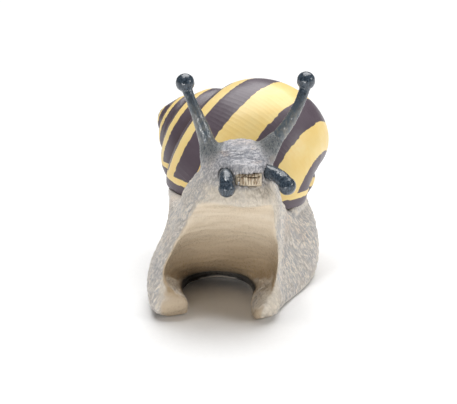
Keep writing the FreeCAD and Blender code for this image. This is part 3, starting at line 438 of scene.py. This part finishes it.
def tape_paint():
    """Clear film: amber in the thickness of the roll, glossy, with faint wound-in streaks."""
    p = Paint("tape_film")
    streak = p.noise((0.9, 0.06, 0.06), 4, 0.6)
    haze = p.noise((0.15, 0.15, 0.15), 4, 0.6, 0.6)
    film = p.blend(p.fit(streak, 0.35, 0.65), srgb(0.93, 0.89, 0.74), srgb(0.91, 0.86, 0.68))
    p.set(Base_Color=p.blend(p.fit(haze, 0.5, 0.75), film, srgb(0.94, 0.91, 0.79)))
    p.set(Roughness=p.fit(streak, 0.3, 0.7, 0.1, 0.22), Transmission_Weight=0.25, IOR=1.47)
    p.set(Coat_Weight=0.4, Coat_Roughness=0.06)
    p.set(Normal=p.bump(streak, 0.015))
    return p.material


# Brush marks per millimetre along each axis.
LONG_BRUSH = (0.2, 3.5, 3.5)
SHORT_BRUSH = (2.2, 2.2, 0.7)
POLISH = (0.9, 0.9, 0.9)

PAINTS = {
    "body": skin_paint(),
    "stalk": stalk_paint(),
    "mouth": mouth_paint(),
    "shell": shell_paint(),
    "dark_plastic": plastic_paint("dark_plastic", srgb(0.17, 0.17, 0.18), srgb(0.21, 0.21, 0.22), 0.5),
    "hub_plastic": plastic_paint("hub_plastic", srgb(0.90, 0.90, 0.88), srgb(0.85, 0.85, 0.82), 0.38),
    "pad": rubber_paint(),
    "ballast": casting_paint(),
    "steel": metal_paint("brushed_steel", srgb(0.74, 0.74, 0.75), srgb(0.62, 0.62, 0.64), 0.22, LONG_BRUSH),
    "zinc": metal_paint("zinc_plate", srgb(0.80, 0.80, 0.79), srgb(0.66, 0.68, 0.70), 0.2, SHORT_BRUSH),
    "magnet": metal_paint("nickel_plate", srgb(0.76, 0.74, 0.70), srgb(0.68, 0.66, 0.62), 0.12, POLISH),
    "core": core_paint(),
    "tape": tape_paint(),
}


# ---------------------------------------------------------------- the body's skin

SKIN_VOXEL = 0.6
# The neck and head stand ahead of SHOULDER_Y; the reel's compartment lies behind it.
SHOULDER_Y = -13
TRUNK_MIDDLE_Y = 22
# The sole looks towards this x and y in front of the foot's arch, and a little down.
BEFORE_ARCH = (-8, -82)
LOOKS_DOWN = 12.0
COLLAR_LENGTH = 17
COLLAR_LOW_RADIUS = 7.8
COLLAR_HIGH_RADIUS = 3.5
# Width and length of the tubercles, in millimetres.
FINE_TUBERCLES = (1.45, 4.4)
WIDE_TUBERCLES = (4.2, 12.0)
# Soft swellings of the head, neck and foot lobes: middle, radii and height, in millimetres.
SWELLINGS = (
    ((3.5, -66.5, 78.4), (9.5, 6.0, 2.0), 2.2),
    ((4.5, -68.0, 64.0), (9.5, 8.0, 3.6), 1.3),
    ((-13.5, -57.0, 68.0), (5.0, 8.0, 7.0), 0.9),
    ((14.5, -57.0, 68.0), (4.0, 8.0, 6.0), 0.8),
    ((4.0, -69.0, 72.8), (8.5, 5.0, 3.0), -1.0),
    ((1.5, -52.0, 87.0), (9.0, 9.0, 4.0), -0.8),
    ((16.0, -60.0, 8.0), (7.0, 7.0, 8.0), 2.6),
    ((-34.0, -62.0, 7.0), (9.0, 6.0, 8.0), 1.6),
)


def stalk_collar(skin, node_name):
    """Add a cone of skin around the root of a stalk. Returns where it starts and its direction."""
    co = points(frame["nodes"][node_name].data)
    root = co[:, 2].min()
    low = co[np.abs(co[:, 2] - root - 9) < 1.5].mean(0)
    high = co[np.abs(co[:, 2] - root - 20) < 1.5].mean(0)
    along = Vector(high - low).normalized()
    made = bmesh.ops.create_cone(skin, cap_ends=True, segments=32, radius1=COLLAR_LOW_RADIUS * MM,
                                 radius2=COLLAR_HIGH_RADIUS * MM, depth=COLLAR_LENGTH * MM)
    turn = Vector((0, 0, 1)).rotation_difference(along).to_matrix()
    bmesh.ops.rotate(skin, verts=made["verts"], matrix=turn)
    bmesh.ops.translate(skin, verts=made["verts"], vec=Vector(low) * MM + along * 2.0 * MM)
    return low, np.array(along)


def near_root(at, low, along):
    """1 at the end of a stalk's collar, fading to 0 where the collar runs into the head."""
    up = (at - low) @ along
    aside = np.linalg.norm(at - low - up[:, None] * along, axis=1)
    return smoothstep(-6, 4, up) * smoothstep(9, 6.5, aside)


def flow_of(at):
    """Places sheared and swayed so that what is long along z follows the slope of neck and flanks."""
    sway = 0.9 * soft_noise(at / 5.0, 18)
    lean = at[:, 0] + 0.4 * np.tanh(at[:, 0] / 25) * (at[:, 2] - 50)
    return np.stack([lean + sway, at[:, 1] + 0.35 * at[:, 2], at[:, 2] + 0.5 * sway], 1)


def tubercles(at, flow, up, size, seed):
    """Relief of long tubercles, 1 on their tops and 0 in the grooves. They lie crosswise on top faces."""
    width, length = size
    near, second = cells(flow / (width, width, length), seed)
    relief = smoothstep(0.0, 0.34, second - near)
    near, second = cells(at / (length, width, width), seed + 20)
    across = smoothstep(0.0, 0.34, second - near)
    return relief + (across - relief) * smoothstep(0.45, 0.8, up)


def faces_out(at, facing):
    """1 on the skin that shows, and 0 in the hollows and on the seats of the fittings."""
    x, y, z = at.T
    out = np.stack([x, y - TRUNK_MIDDLE_Y], 1)
    out /= np.linalg.norm(out, axis=1)[:, None] + TINY
    outward = facing[:, 0] * out[:, 0] + facing[:, 1] * out[:, 1]
    front = smoothstep(SHOULDER_Y + 4, SHOULDER_Y - 2, y)
    flank = smoothstep(0.15, 0.4, outward)
    flank = flank * smoothstep(40, 37.5, z + RIM_SLOPE * x) * smoothstep(2.0, 4.0, z)
    cutter_seat = smoothstep(15.5, 13.5, np.abs(x - REEL_X)) * smoothstep(62, 65, y) * smoothstep(12, 15, z)
    hinge_seat = smoothstep(48, 52, y) * smoothstep(28, 32, z)
    return np.maximum(front, flank * (1 - cutter_seat) * (1 - hinge_seat))


def relaxed_skin(mesh, at, outside, under):
    """The remesh's steps smoothed off, most of all on the ledge in front of the shell."""
    y, z = at[:, 1], at[:, 2]
    ledge = smoothstep(36, 40, z) * smoothstep(54, 49, z) * smoothstep(-22, -28, y)
    at = relaxed(mesh, at, 2, np.ones(len(at)))
    at = relaxed(mesh, at, 34, outside * (1 - 0.8 * under))
    return relaxed(mesh, at, 110, outside * ledge)


def skin_regions(at, facing, patch):
    """Shares of the sole, the cave at the arch's inner end that is painted dark as shade, the sole's rim,
    the chin and the lobes.
    """
    x, y, z = at.T
    inward = np.stack([BEFORE_ARCH[0] - x, BEFORE_ARCH[1] - y, np.full(len(at), -LOOKS_DOWN)], 1)
    inward /= np.linalg.norm(inward, axis=1)[:, None]
    ragged = np.sum(facing * inward, axis=1) + 0.12 * soft_noise(at / (4, 4, 3), 10)
    hollow = smoothstep(61, 58.5, z + 1.4 * np.cos((x - 3) / 5)) * smoothstep(-10, -12, y)
    # The cave: low surfaces at the arch's inner end, painted nearly black as shade.
    cave = smoothstep(11.5, 6.5, z + 0.8 * patch) * smoothstep(1.0, 2.0, z)
    cave *= smoothstep(-48, -40, y) * smoothstep(-8, -10, y)
    cave *= smoothstep(-34, -31, x) * smoothstep(14, 11, x)
    sole = np.maximum(smoothstep(0.40, 0.62, ragged) * hollow, cave)
    rim = smoothstep(-0.05, 0.3, ragged) * smoothstep(66, 60, z) * smoothstep(-30, -40, y)
    chin = smoothstep(71, 67, z) * smoothstep(-56, -63, y) * smoothstep(-22, -12, x)
    lobes = smoothstep(17, 9, z) * smoothstep(-40, -52, y)
    return sole, cave, rim, chin, lobes


def swellings(at):
    """Height of the soft swellings."""
    lift = np.zeros(len(at))
    for middle, radii, height in SWELLINGS:
        far = np.sum(((at - middle) / radii) ** 2, axis=1)
        lift += height * np.exp(-far)
    return lift


def wrinkles(at, fine, wide):
    """Height of the folds and tubercles."""
    folds = 0.5 * soft_noise(at / (14, 14, 22), 3) + 0.3 * soft_noise(at / (5, 5, 9), 4)
    return folds * 0.8 + 0.42 * (fine - 0.75) + 0.45 * (wide - 0.8)


def sole_ripples(at):
    """Height of the ripples across the sole."""
    wave = at[:, 2] / 2.3 + 1.1 * soft_noise(at / (9, 9, 7), 5) + 0.5 * soft_noise(at / (3, 3, 3), 6)
    return 0.1 * np.sin(wave * math.pi) + 0.6 * soft_noise(at / (11, 11, 11), 8)


def build_skin():
    """The casing's skin: smoothed, then raised into swellings, folds, tubercles and ripples."""
    source = welded("body_casing")
    collars = [stalk_collar(source, stalk) for stalk in ("eye_stalk_left", "eye_stalk_right")]
    made = remeshed("snail_skin", source, SKIN_VOXEL)
    mesh = made.data
    at = points(mesh)
    outside = faces_out(at, normals(mesh))
    under = smoothstep(2.2, 1.2, at[:, 2])
    at = relaxed_skin(mesh, at, outside, under)
    set_points(mesh, at)

    facing = normals(mesh)
    height = at[:, 2]
    patch = soft_noise(at / 13.0, 9)
    sole, cave, rim, chin, lobes = skin_regions(at, facing, patch)
    root = np.maximum(*[near_root(at, *collar) for collar in collars])
    wrinkled = outside * (1 - sole) * (1 - under) * (1 - 0.8 * root)
    flow = flow_of(at)
    fine = tubercles(at, flow, facing[:, 2], FINE_TUBERCLES, 11)
    wide = tubercles(at, flow, facing[:, 2], WIDE_TUBERCLES, 51)
    lift = swellings(at)
    lift += wrinkled * wrinkles(at, fine, wide)
    lift += sole * sole_ripples(at)
    lifted = at + facing * lift[:, None]
    lifted[:, 2] = np.maximum(lifted[:, 2], 0.1)
    set_points(mesh, lifted)

    slate = smoothstep(62, 82, height + 6 * patch) + 0.3 * smoothstep(0.1, 0.8, patch)
    # Painted shade for the sole: darker towards the desk, half as much on the lobes.
    depth = np.clip(1 - (height + 2 * patch) / 55, 0, 1) * (1 - 0.5 * lobes)
    brow = smoothstep(74, 77, height) * smoothstep(0.0, 0.5, soft_noise(lifted / (9, 9, 2.6), 12))
    store(mesh, "relief", 1 - wrinkled + wrinkled * np.clip(fine * (0.55 + 0.45 * wide), 0, 1))
    store(mesh, "sole", sole)
    store(mesh, "root", root)
    store_place(mesh, "flow", flow)
    store(mesh, "slate", np.clip(slate * (1 - 0.8 * chin), 0, 1))
    # The depth mark carries the painted shade of the sole and of the cave.
    store(mesh, "depth", np.maximum(depth, cave))
    store(mesh, "pale", np.maximum(rim * (1 - 0.5 * lobes), chin))
    store(mesh, "warm", 0.55 * np.maximum(brow, 0.5 * smoothstep(0.2, 0.7, -patch)))
    return finished(made, "stand", "body", PAINTS["body"], "body_casing")


# ---------------------------------------------------------------- stalks, feelers and mouth

LIMB_VOXEL = 0.3
MOUTH_VOXEL = 0.2


def build_limb(name, axis, tip_is_high, darkness):
    """A stalk or feeler with a wet, pebbled surface. It darkens from the given share to 1 at its tip."""
    made = remeshed(name + "_skin", welded(name), LIMB_VOXEL)
    mesh = made.data
    at = relaxed(mesh, points(mesh), 5, np.ones(len(mesh.vertices)))
    set_points(mesh, at)
    run = (at[:, axis] - at[:, axis].min()) / np.ptp(at[:, axis])
    along = run if tip_is_high else 1 - run
    along = darkness + (1 - darkness) * along
    pebble = np.array([0.7, 0.7, 0.7])
    pebble[axis] = 2.4
    near, second = cells(at / pebble, 31)
    relief = smoothstep(0, 0.4, second - near)
    dents = soft_noise(at / 1.6, 33)
    lift = (0.11 * (relief - 0.7)) * (1 - 0.7 * smoothstep(0.85, 0.95, along)) + 0.09 * dents
    set_points(mesh, at + normals(mesh) * lift[:, None])
    store(mesh, "along", along)
    return finished(made, "stand", "stalk", PAINTS["stalk"], name)


def build_mouth():
    """Ribbed lips with a slit above their middle, sunk at the edges where they meet the skin."""
    made = remeshed("mouth_lips", welded("mouth_insert"), MOUTH_VOXEL)
    mesh = made.data
    at = relaxed(mesh, points(mesh), 3, np.ones(len(mesh.vertices)))
    set_points(mesh, at)
    low, high = at.min(0), at.max(0)
    middle = (low + high) / 2
    x, y, z = at.T
    ridge = 0.5 + 0.5 * np.sin(x * 4.4 + 1.4 * soft_noise(at / 2.0, 41))
    slit = np.exp(-((z - middle[2] - 2.1 - 0.25 * np.sin(x * 0.7)) / 0.3) ** 2)
    front = smoothstep(high[1] - 2.5, low[1] + 1.5, y)
    side = np.abs(x - middle[0]) / (high[0] - low[0]) * 2
    edge = np.maximum(smoothstep(middle[2] - 0.4, low[2] + 0.3, z), smoothstep(0.62, 0.95, side))
    lift = front * (0.3 * (1 - 0.5 * edge) * (ridge - 0.5) - 0.8 * slit - 0.55 * edge)
    set_points(mesh, at + normals(mesh) * lift[:, None])
    # The relief mark carries the painted shade of the slit and of the troughs between the ridges.
    store(mesh, "relief", np.clip(1 - slit, 0, 1) * (0.5 + 0.5 * ridge))
    store(mesh, "edge", edge)
    return finished(made, "stand", "mouth", PAINTS["mouth"], "mouth_insert")


# ---------------------------------------------------------------- the shell

# The spiral that the CAD shell follows, in millimetres and degrees.
APEX = np.array([-45.9, 55.4, 76.8])
STRETCH = np.array([1.05, 0.84, 1.0])
AXIS_HEADING = math.radians(34.0)
AXIS_RISE = math.radians(23.9)
GROWTH_PER_TURN = 1.674
TUBE_CENTRE = np.array([27.5, -83.8])
TUBE_RADII = np.array([33.3, 42.4])
START_ANGLE = math.radians(-182.3)
LIP_RUN_OUT = math.radians(70)
WHORLS = range(-1, 4)
SHELL_VOXEL = 0.55
SHELL_MIDDLE = np.array([4.0, 22.0, 46.0])
FAR = 99.0
# Where each dark band begins and ends, as shares of half a turn around the tube from its top.
BANDS = ((0.068, 0.196), (0.284, 0.42), (0.583, 0.734), (0.914, 1.1))
BAND_BLUR = 0.004
# Heights above the rim: the lip is dark up to the first and pale up to the second.
DARK_LIP = 4.9
PALE_LIP = 7.9

AXIS = np.array([-math.cos(AXIS_HEADING) * math.cos(AXIS_RISE),
                 math.sin(AXIS_HEADING) * math.cos(AXIS_RISE),
                 math.sin(AXIS_RISE)])
AXIS_SIDE = np.cross([0, 1, 0], AXIS)
AXIS_SIDE /= np.linalg.norm(AXIS_SIDE)
AXIS_UP = np.cross(AXIS, AXIS_SIDE)


def spiral(at):
    """How far each point is out of the tube (1 on its wall), the same for the next whorl,
    and its place: the turn back from the lip and the angle around the tube."""
    local = (at - APEX) / STRETCH
    side, up, height = local @ AXIS_SIDE, local @ AXIS_UP, local @ AXIS
    radius = np.hypot(side, up)
    back = -np.mod(np.arctan2(up, side) - START_ANGLE, 2 * math.pi)
    best = np.full(len(at), FAR)
    other = best.copy()
    turn_at = np.zeros(len(at))
    angle_at = np.zeros(len(at))
    for whorl in WHORLS:
        turn = back - 2 * math.pi * whorl
        shrink = 1 - 0.36 * np.clip(turn / LIP_RUN_OUT, 0, 1)
        size = np.where(turn > 0, shrink, GROWTH_PER_TURN ** (np.minimum(turn, 0) / (2 * math.pi)))
        across = (radius / size - TUBE_CENTRE[0]) / TUBE_RADII[0]
        along = (height / size - TUBE_CENTRE[1]) / TUBE_RADII[1]
        out = np.where(turn > LIP_RUN_OUT, FAR, np.hypot(across, along))
        closer = out < best
        other = np.where(closer, best, np.minimum(other, out))
        best = np.where(closer, out, best)
        turn_at = np.where(closer, turn, turn_at)
        angle_at = np.where(closer, np.arctan2(along, across), angle_at)
    return best, other, turn_at, angle_at


def onto_spiral(at, rounds=5, longest=1.2):
    """Points moved along the steepest way to the tube's wall."""
    step = 0.05
    for _ in range(rounds):
        out = spiral(at)[0]
        slope = np.stack([spiral(at + step * np.eye(3)[k])[0] - out for k in range(3)], 1) / step
        move = -(out - 1)[:, None] * slope / (np.sum(slope ** 2, axis=1)[:, None] + TINY)
        length = np.linalg.norm(move, axis=1)[:, None]
        at = at + move * np.minimum(1, longest / (length + TINY))
    return at


def band_marks(at, turn, angle):
    """1 in the dark bands and 0 on the yellow, with edges that waver along the growth lines."""
    share = np.mod(math.pi / 2 - angle, 2 * math.pi) / math.pi
    streaks = np.stack([turn * 26, share * 3, np.zeros(len(at))], 1)
    share = share + 0.0035 * soft_noise(streaks, 61) + 0.003 * soft_noise(at / 6.0, 62)
    dark = np.zeros(len(at))
    for low, high in BANDS:
        begins = smoothstep(low - BAND_BLUR, low + BAND_BLUR, share)
        ends = smoothstep(high + BAND_BLUR, high - BAND_BLUR, share)
        dark = np.maximum(dark, begins * ends)
    return dark


def above_rim(at):
    """Height over the plane where the shell meets the casing."""
    return at[:, 2] + RIM_SLOPE * at[:, 0] - RIM_HEIGHT


def outer_wall(at, out, looks_out):
    """1 on the outside that follows the spiral, and 0 inside, at the rim and on the filled side."""
    wall = smoothstep(0.0, 0.15, looks_out) * smoothstep(0.84, 0.9, out)
    return wall * (smoothstep(1.14, 1.06, out) * smoothstep(0.6, 3.0, above_rim(at)))


def growth_lines(at, out, turn, angle):
    """Fine ridges along the growth lines, and slow swells beside them."""
    lines = turn * 118 + 1.6 * soft_noise(np.stack([turn * 9, angle * 2, out], 1), 63)
    fine = np.clip(np.sin(lines), 0, 1) ** 2 * (0.6 + 0.4 * soft_noise(at / 7.0, 64))
    slow = soft_noise(np.stack([turn * 7, angle * 0.6, np.zeros(len(at))], 1), 65)
    return fine, slow


def build_shell():
    """The shell, fitted to its spiral outside, with growth lines in relief and marks for its bands."""
    made = remeshed("banded_shell", welded("snail_shell"), SHELL_VOXEL)
    mesh = made.data
    at = points(mesh)
    away = at - SHELL_MIDDLE
    away /= np.linalg.norm(away, axis=1)[:, None]
    looks_out = np.sum(normals(mesh) * away, axis=1)
    outer = outer_wall(at, spiral(at)[0], looks_out)
    at = relaxed(mesh, at, 2, np.ones(len(at)))
    at = at + outer[:, None] * (onto_spiral(at) - at)
    at = relaxed(mesh, at, 2, outer)
    set_points(mesh, at)

    out, other, turn, angle = spiral(at)
    # The suture mark sinks the seam between whorls and carries its painted shade.
    suture = smoothstep(0.10, 0.0, other - out) * outer
    growth, slow = growth_lines(at, out, turn, angle)
    lift = outer * (0.07 * growth + 0.14 * slow - 0.3 * suture)
    set_points(mesh, at + normals(mesh) * lift[:, None])

    ragged = above_rim(at) + 0.35 * soft_noise(at / 3.0, 66)
    band = band_marks(at, turn, angle) * smoothstep(PALE_LIP - 0.2, PALE_LIP + 0.2, ragged)
    band = np.maximum(band, smoothstep(DARK_LIP + 0.2, DARK_LIP - 0.2, ragged))
    spire = smoothstep(-30, -33, at[:, 0])
    seen = smoothstep(-0.2, 0.1, looks_out) * np.maximum(smoothstep(0.84, 0.9, out), spire)
    store(mesh, "band", band)
    store(mesh, "suture", suture)
    store(mesh, "growth", np.clip(growth, 0, 1))
    store(mesh, "inside", 1 - np.maximum(outer, seen))
    return finished(made, "shell", "shell", PAINTS["shell"], "snail_shell")


# ---------------------------------------------------------------- the tape roll

TAPE_LAYERS = 26
TAPE_STEPS = 180
TAPE_EDGE = 0.15
TAPE_CORNER = 0.35


def winding_profile(inner, outer):
    """Radius and depth below the side face, for the edges of the layers from inside to outside."""
    profile = []
    for k in range(2 * TAPE_LAYERS + 1):
        radius = inner + (outer - TAPE_EDGE - inner) * k / (2 * TAPE_LAYERS)
        sunk = 0.16 * (k % 2) + 0.10 * (1 + math.sin(k * 1.7)) / 2
        profile.append((radius, sunk))
    return profile


def turned(name, section, middle):
    """A closed ring from a section of (radius, x) points turned around the x axis through middle."""
    made = bmesh.new()
    rows = []
    for step in range(TAPE_STEPS):
        turn = 2 * math.pi * step / TAPE_STEPS
        row = []
        for radius, x in section:
            y = middle[1] + radius * math.cos(turn)
            z = middle[2] + radius * math.sin(turn)
            row.append(made.verts.new((x * MM, y * MM, z * MM)))
        rows.append(row)
    for step, here in enumerate(rows):
        there = rows[(step + 1) % TAPE_STEPS]
        for k in range(len(section)):
            after = (k + 1) % len(section)
            made.faces.new((here[k], here[after], there[after], there[k]))
    bmesh.ops.recalc_face_normals(made, faces=made.faces)
    mesh = bpy.data.meshes.new(name)
    made.to_mesh(mesh)
    made.free()
    mesh.shade_smooth()
    return new_object(name, mesh)


def build_tape_roll():
    """Wound film: the sides show the edges of the layers, some of them standing a little proud."""
    low, high = (np.array(corner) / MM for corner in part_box("tape_roll"))
    core_low, core_high = (np.array(corner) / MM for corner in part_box("roll_core"))
    outer = (high[2] - low[2]) / 2
    inner = (core_high[2] - core_low[2]) / 2 + 0.01
    profile = winding_profile(inner, outer)
    left = [(radius, low[0] + sunk) for radius, sunk in profile] + [(outer, low[0] + TAPE_CORNER)]
    right = [(radius, high[0] - sunk) for radius, sunk in profile] + [(outer, high[0] - TAPE_CORNER)]
    made = turned("tape_winding", left + right[::-1], (low + high) / 2)
    return finished(made, "reel", "tape", PAINTS["tape"], "tape_roll")


# ---------------------------------------------------------------- the object

def paint_kept_nodes():
    """Give every CAD node that isn't replaced the material of its slot."""
    slot_of = {row["node"]: row["material_slot"] for row in frame["record"]["subparts"]}
    for name, cad_node in frame["nodes"].items():
        if not cad_node.hide_render:
            cad_node.data.materials.clear()
            cad_node.data.materials.append(PAINTS[slot_of[name]])


build_skin()
for side in ("left", "right"):
    build_limb("eye_stalk_" + side, axis=2, tip_is_high=True, darkness=0.0)
    build_limb("feeler_" + side, axis=1, tip_is_high=False, darkness=0.5)
build_mouth()
build_shell()
build_tape_roll()
paint_kept_nodes()


# ---------------------------------------------------------------- floor, light and camera

TARGET = Vector((0, 0, 55)) * MM
CAMERA_DISTANCE = 0.8
CAMERA_RISE = math.radians(18)
CAMERA_LENS = 122.9
CAMERA_SHIFT = (-0.0252, -0.0643)
SENSOR_WIDTH = 36
WORLD_STRENGTH = 0.1


def floor_paint():
    """Plain pale paint."""
    p = Paint("studio_floor")
    grain = p.noise((0.4, 0.4, 0.4), 4, 0.6)
    p.set(Base_Color=p.blend(p.fit(grain, 0.3, 0.7), (0.93, 0.93, 0.93, 1), (0.95, 0.95, 0.95, 1)))
    p.set(Roughness=0.75, Specular_IOR_Level=0.2)
    return p.material


def build_floor():
    made = bmesh.new()
    bmesh.ops.create_grid(made, x_segments=8, y_segments=8, size=4)
    mesh = bpy.data.meshes.new("floor")
    made.to_mesh(mesh)
    made.free()
    mesh.materials.append(floor_paint())
    new_object("floor", mesh)


def soft_light(name, place, size, power):
    """A rectangular light box of some width and height, turned to the object."""
    light = bpy.data.lights.new(name, "AREA")
    light.shape = "RECTANGLE"
    light.size, light.size_y = size
    light.energy = power
    made = new_object(name, light)
    made.location = place
    made.rotation_mode = "QUATERNION"
    made.rotation_quaternion = (TARGET - Vector(place)).to_track_quat("-Z", "Y")


def wide_light(name, toward, spread, strength):
    """A far light as wide as a bright ceiling, so that the whole floor is lit alike."""
    light = bpy.data.lights.new(name, "SUN")
    light.angle = math.radians(spread)
    light.energy = strength
    made = new_object(name, light)
    made.rotation_mode = "QUATERNION"
    made.rotation_quaternion = Vector(toward).to_track_quat("Z", "Y")


def build_camera():
    lens = bpy.data.cameras.new("camera")
    lens.lens = CAMERA_LENS
    lens.sensor_width = SENSOR_WIDTH
    lens.shift_x, lens.shift_y = CAMERA_SHIFT
    lens.clip_end = 20
    made = new_object("camera", lens)
    back = Vector((0, -math.cos(CAMERA_RISE), math.sin(CAMERA_RISE)))
    made.location = TARGET + back * CAMERA_DISTANCE
    made.rotation_mode = "QUATERNION"
    made.rotation_quaternion = (-back).to_track_quat("-Z", "Y")
    bpy.context.scene.camera = made


def build_world():
    """A faint white surround."""
    world = bpy.data.worlds.new("studio")
    world.use_nodes = True
    surround = world.node_tree.nodes["Background"]
    surround.inputs["Color"].default_value = (1, 1, 1, 1)
    surround.inputs["Strength"].default_value = WORLD_STRENGTH
    bpy.context.scene.world = world


build_floor()
wide_light("ceiling", (0.08, 0.5, 1.0), 60, 3.3)
soft_light("low_window", (-0.35, -1.1, 0.06), (0.6, 0.1), 3.4)
soft_light("right_window", (1.0, -0.3, 0.5), (0.5, 0.4), 3.2)
soft_light("lamp", (-0.2, -0.1, 1.0), (0.18, 0.18), 1.6)
build_camera()
build_world()
bpy.context.scene.view_settings.view_transform = "Standard"
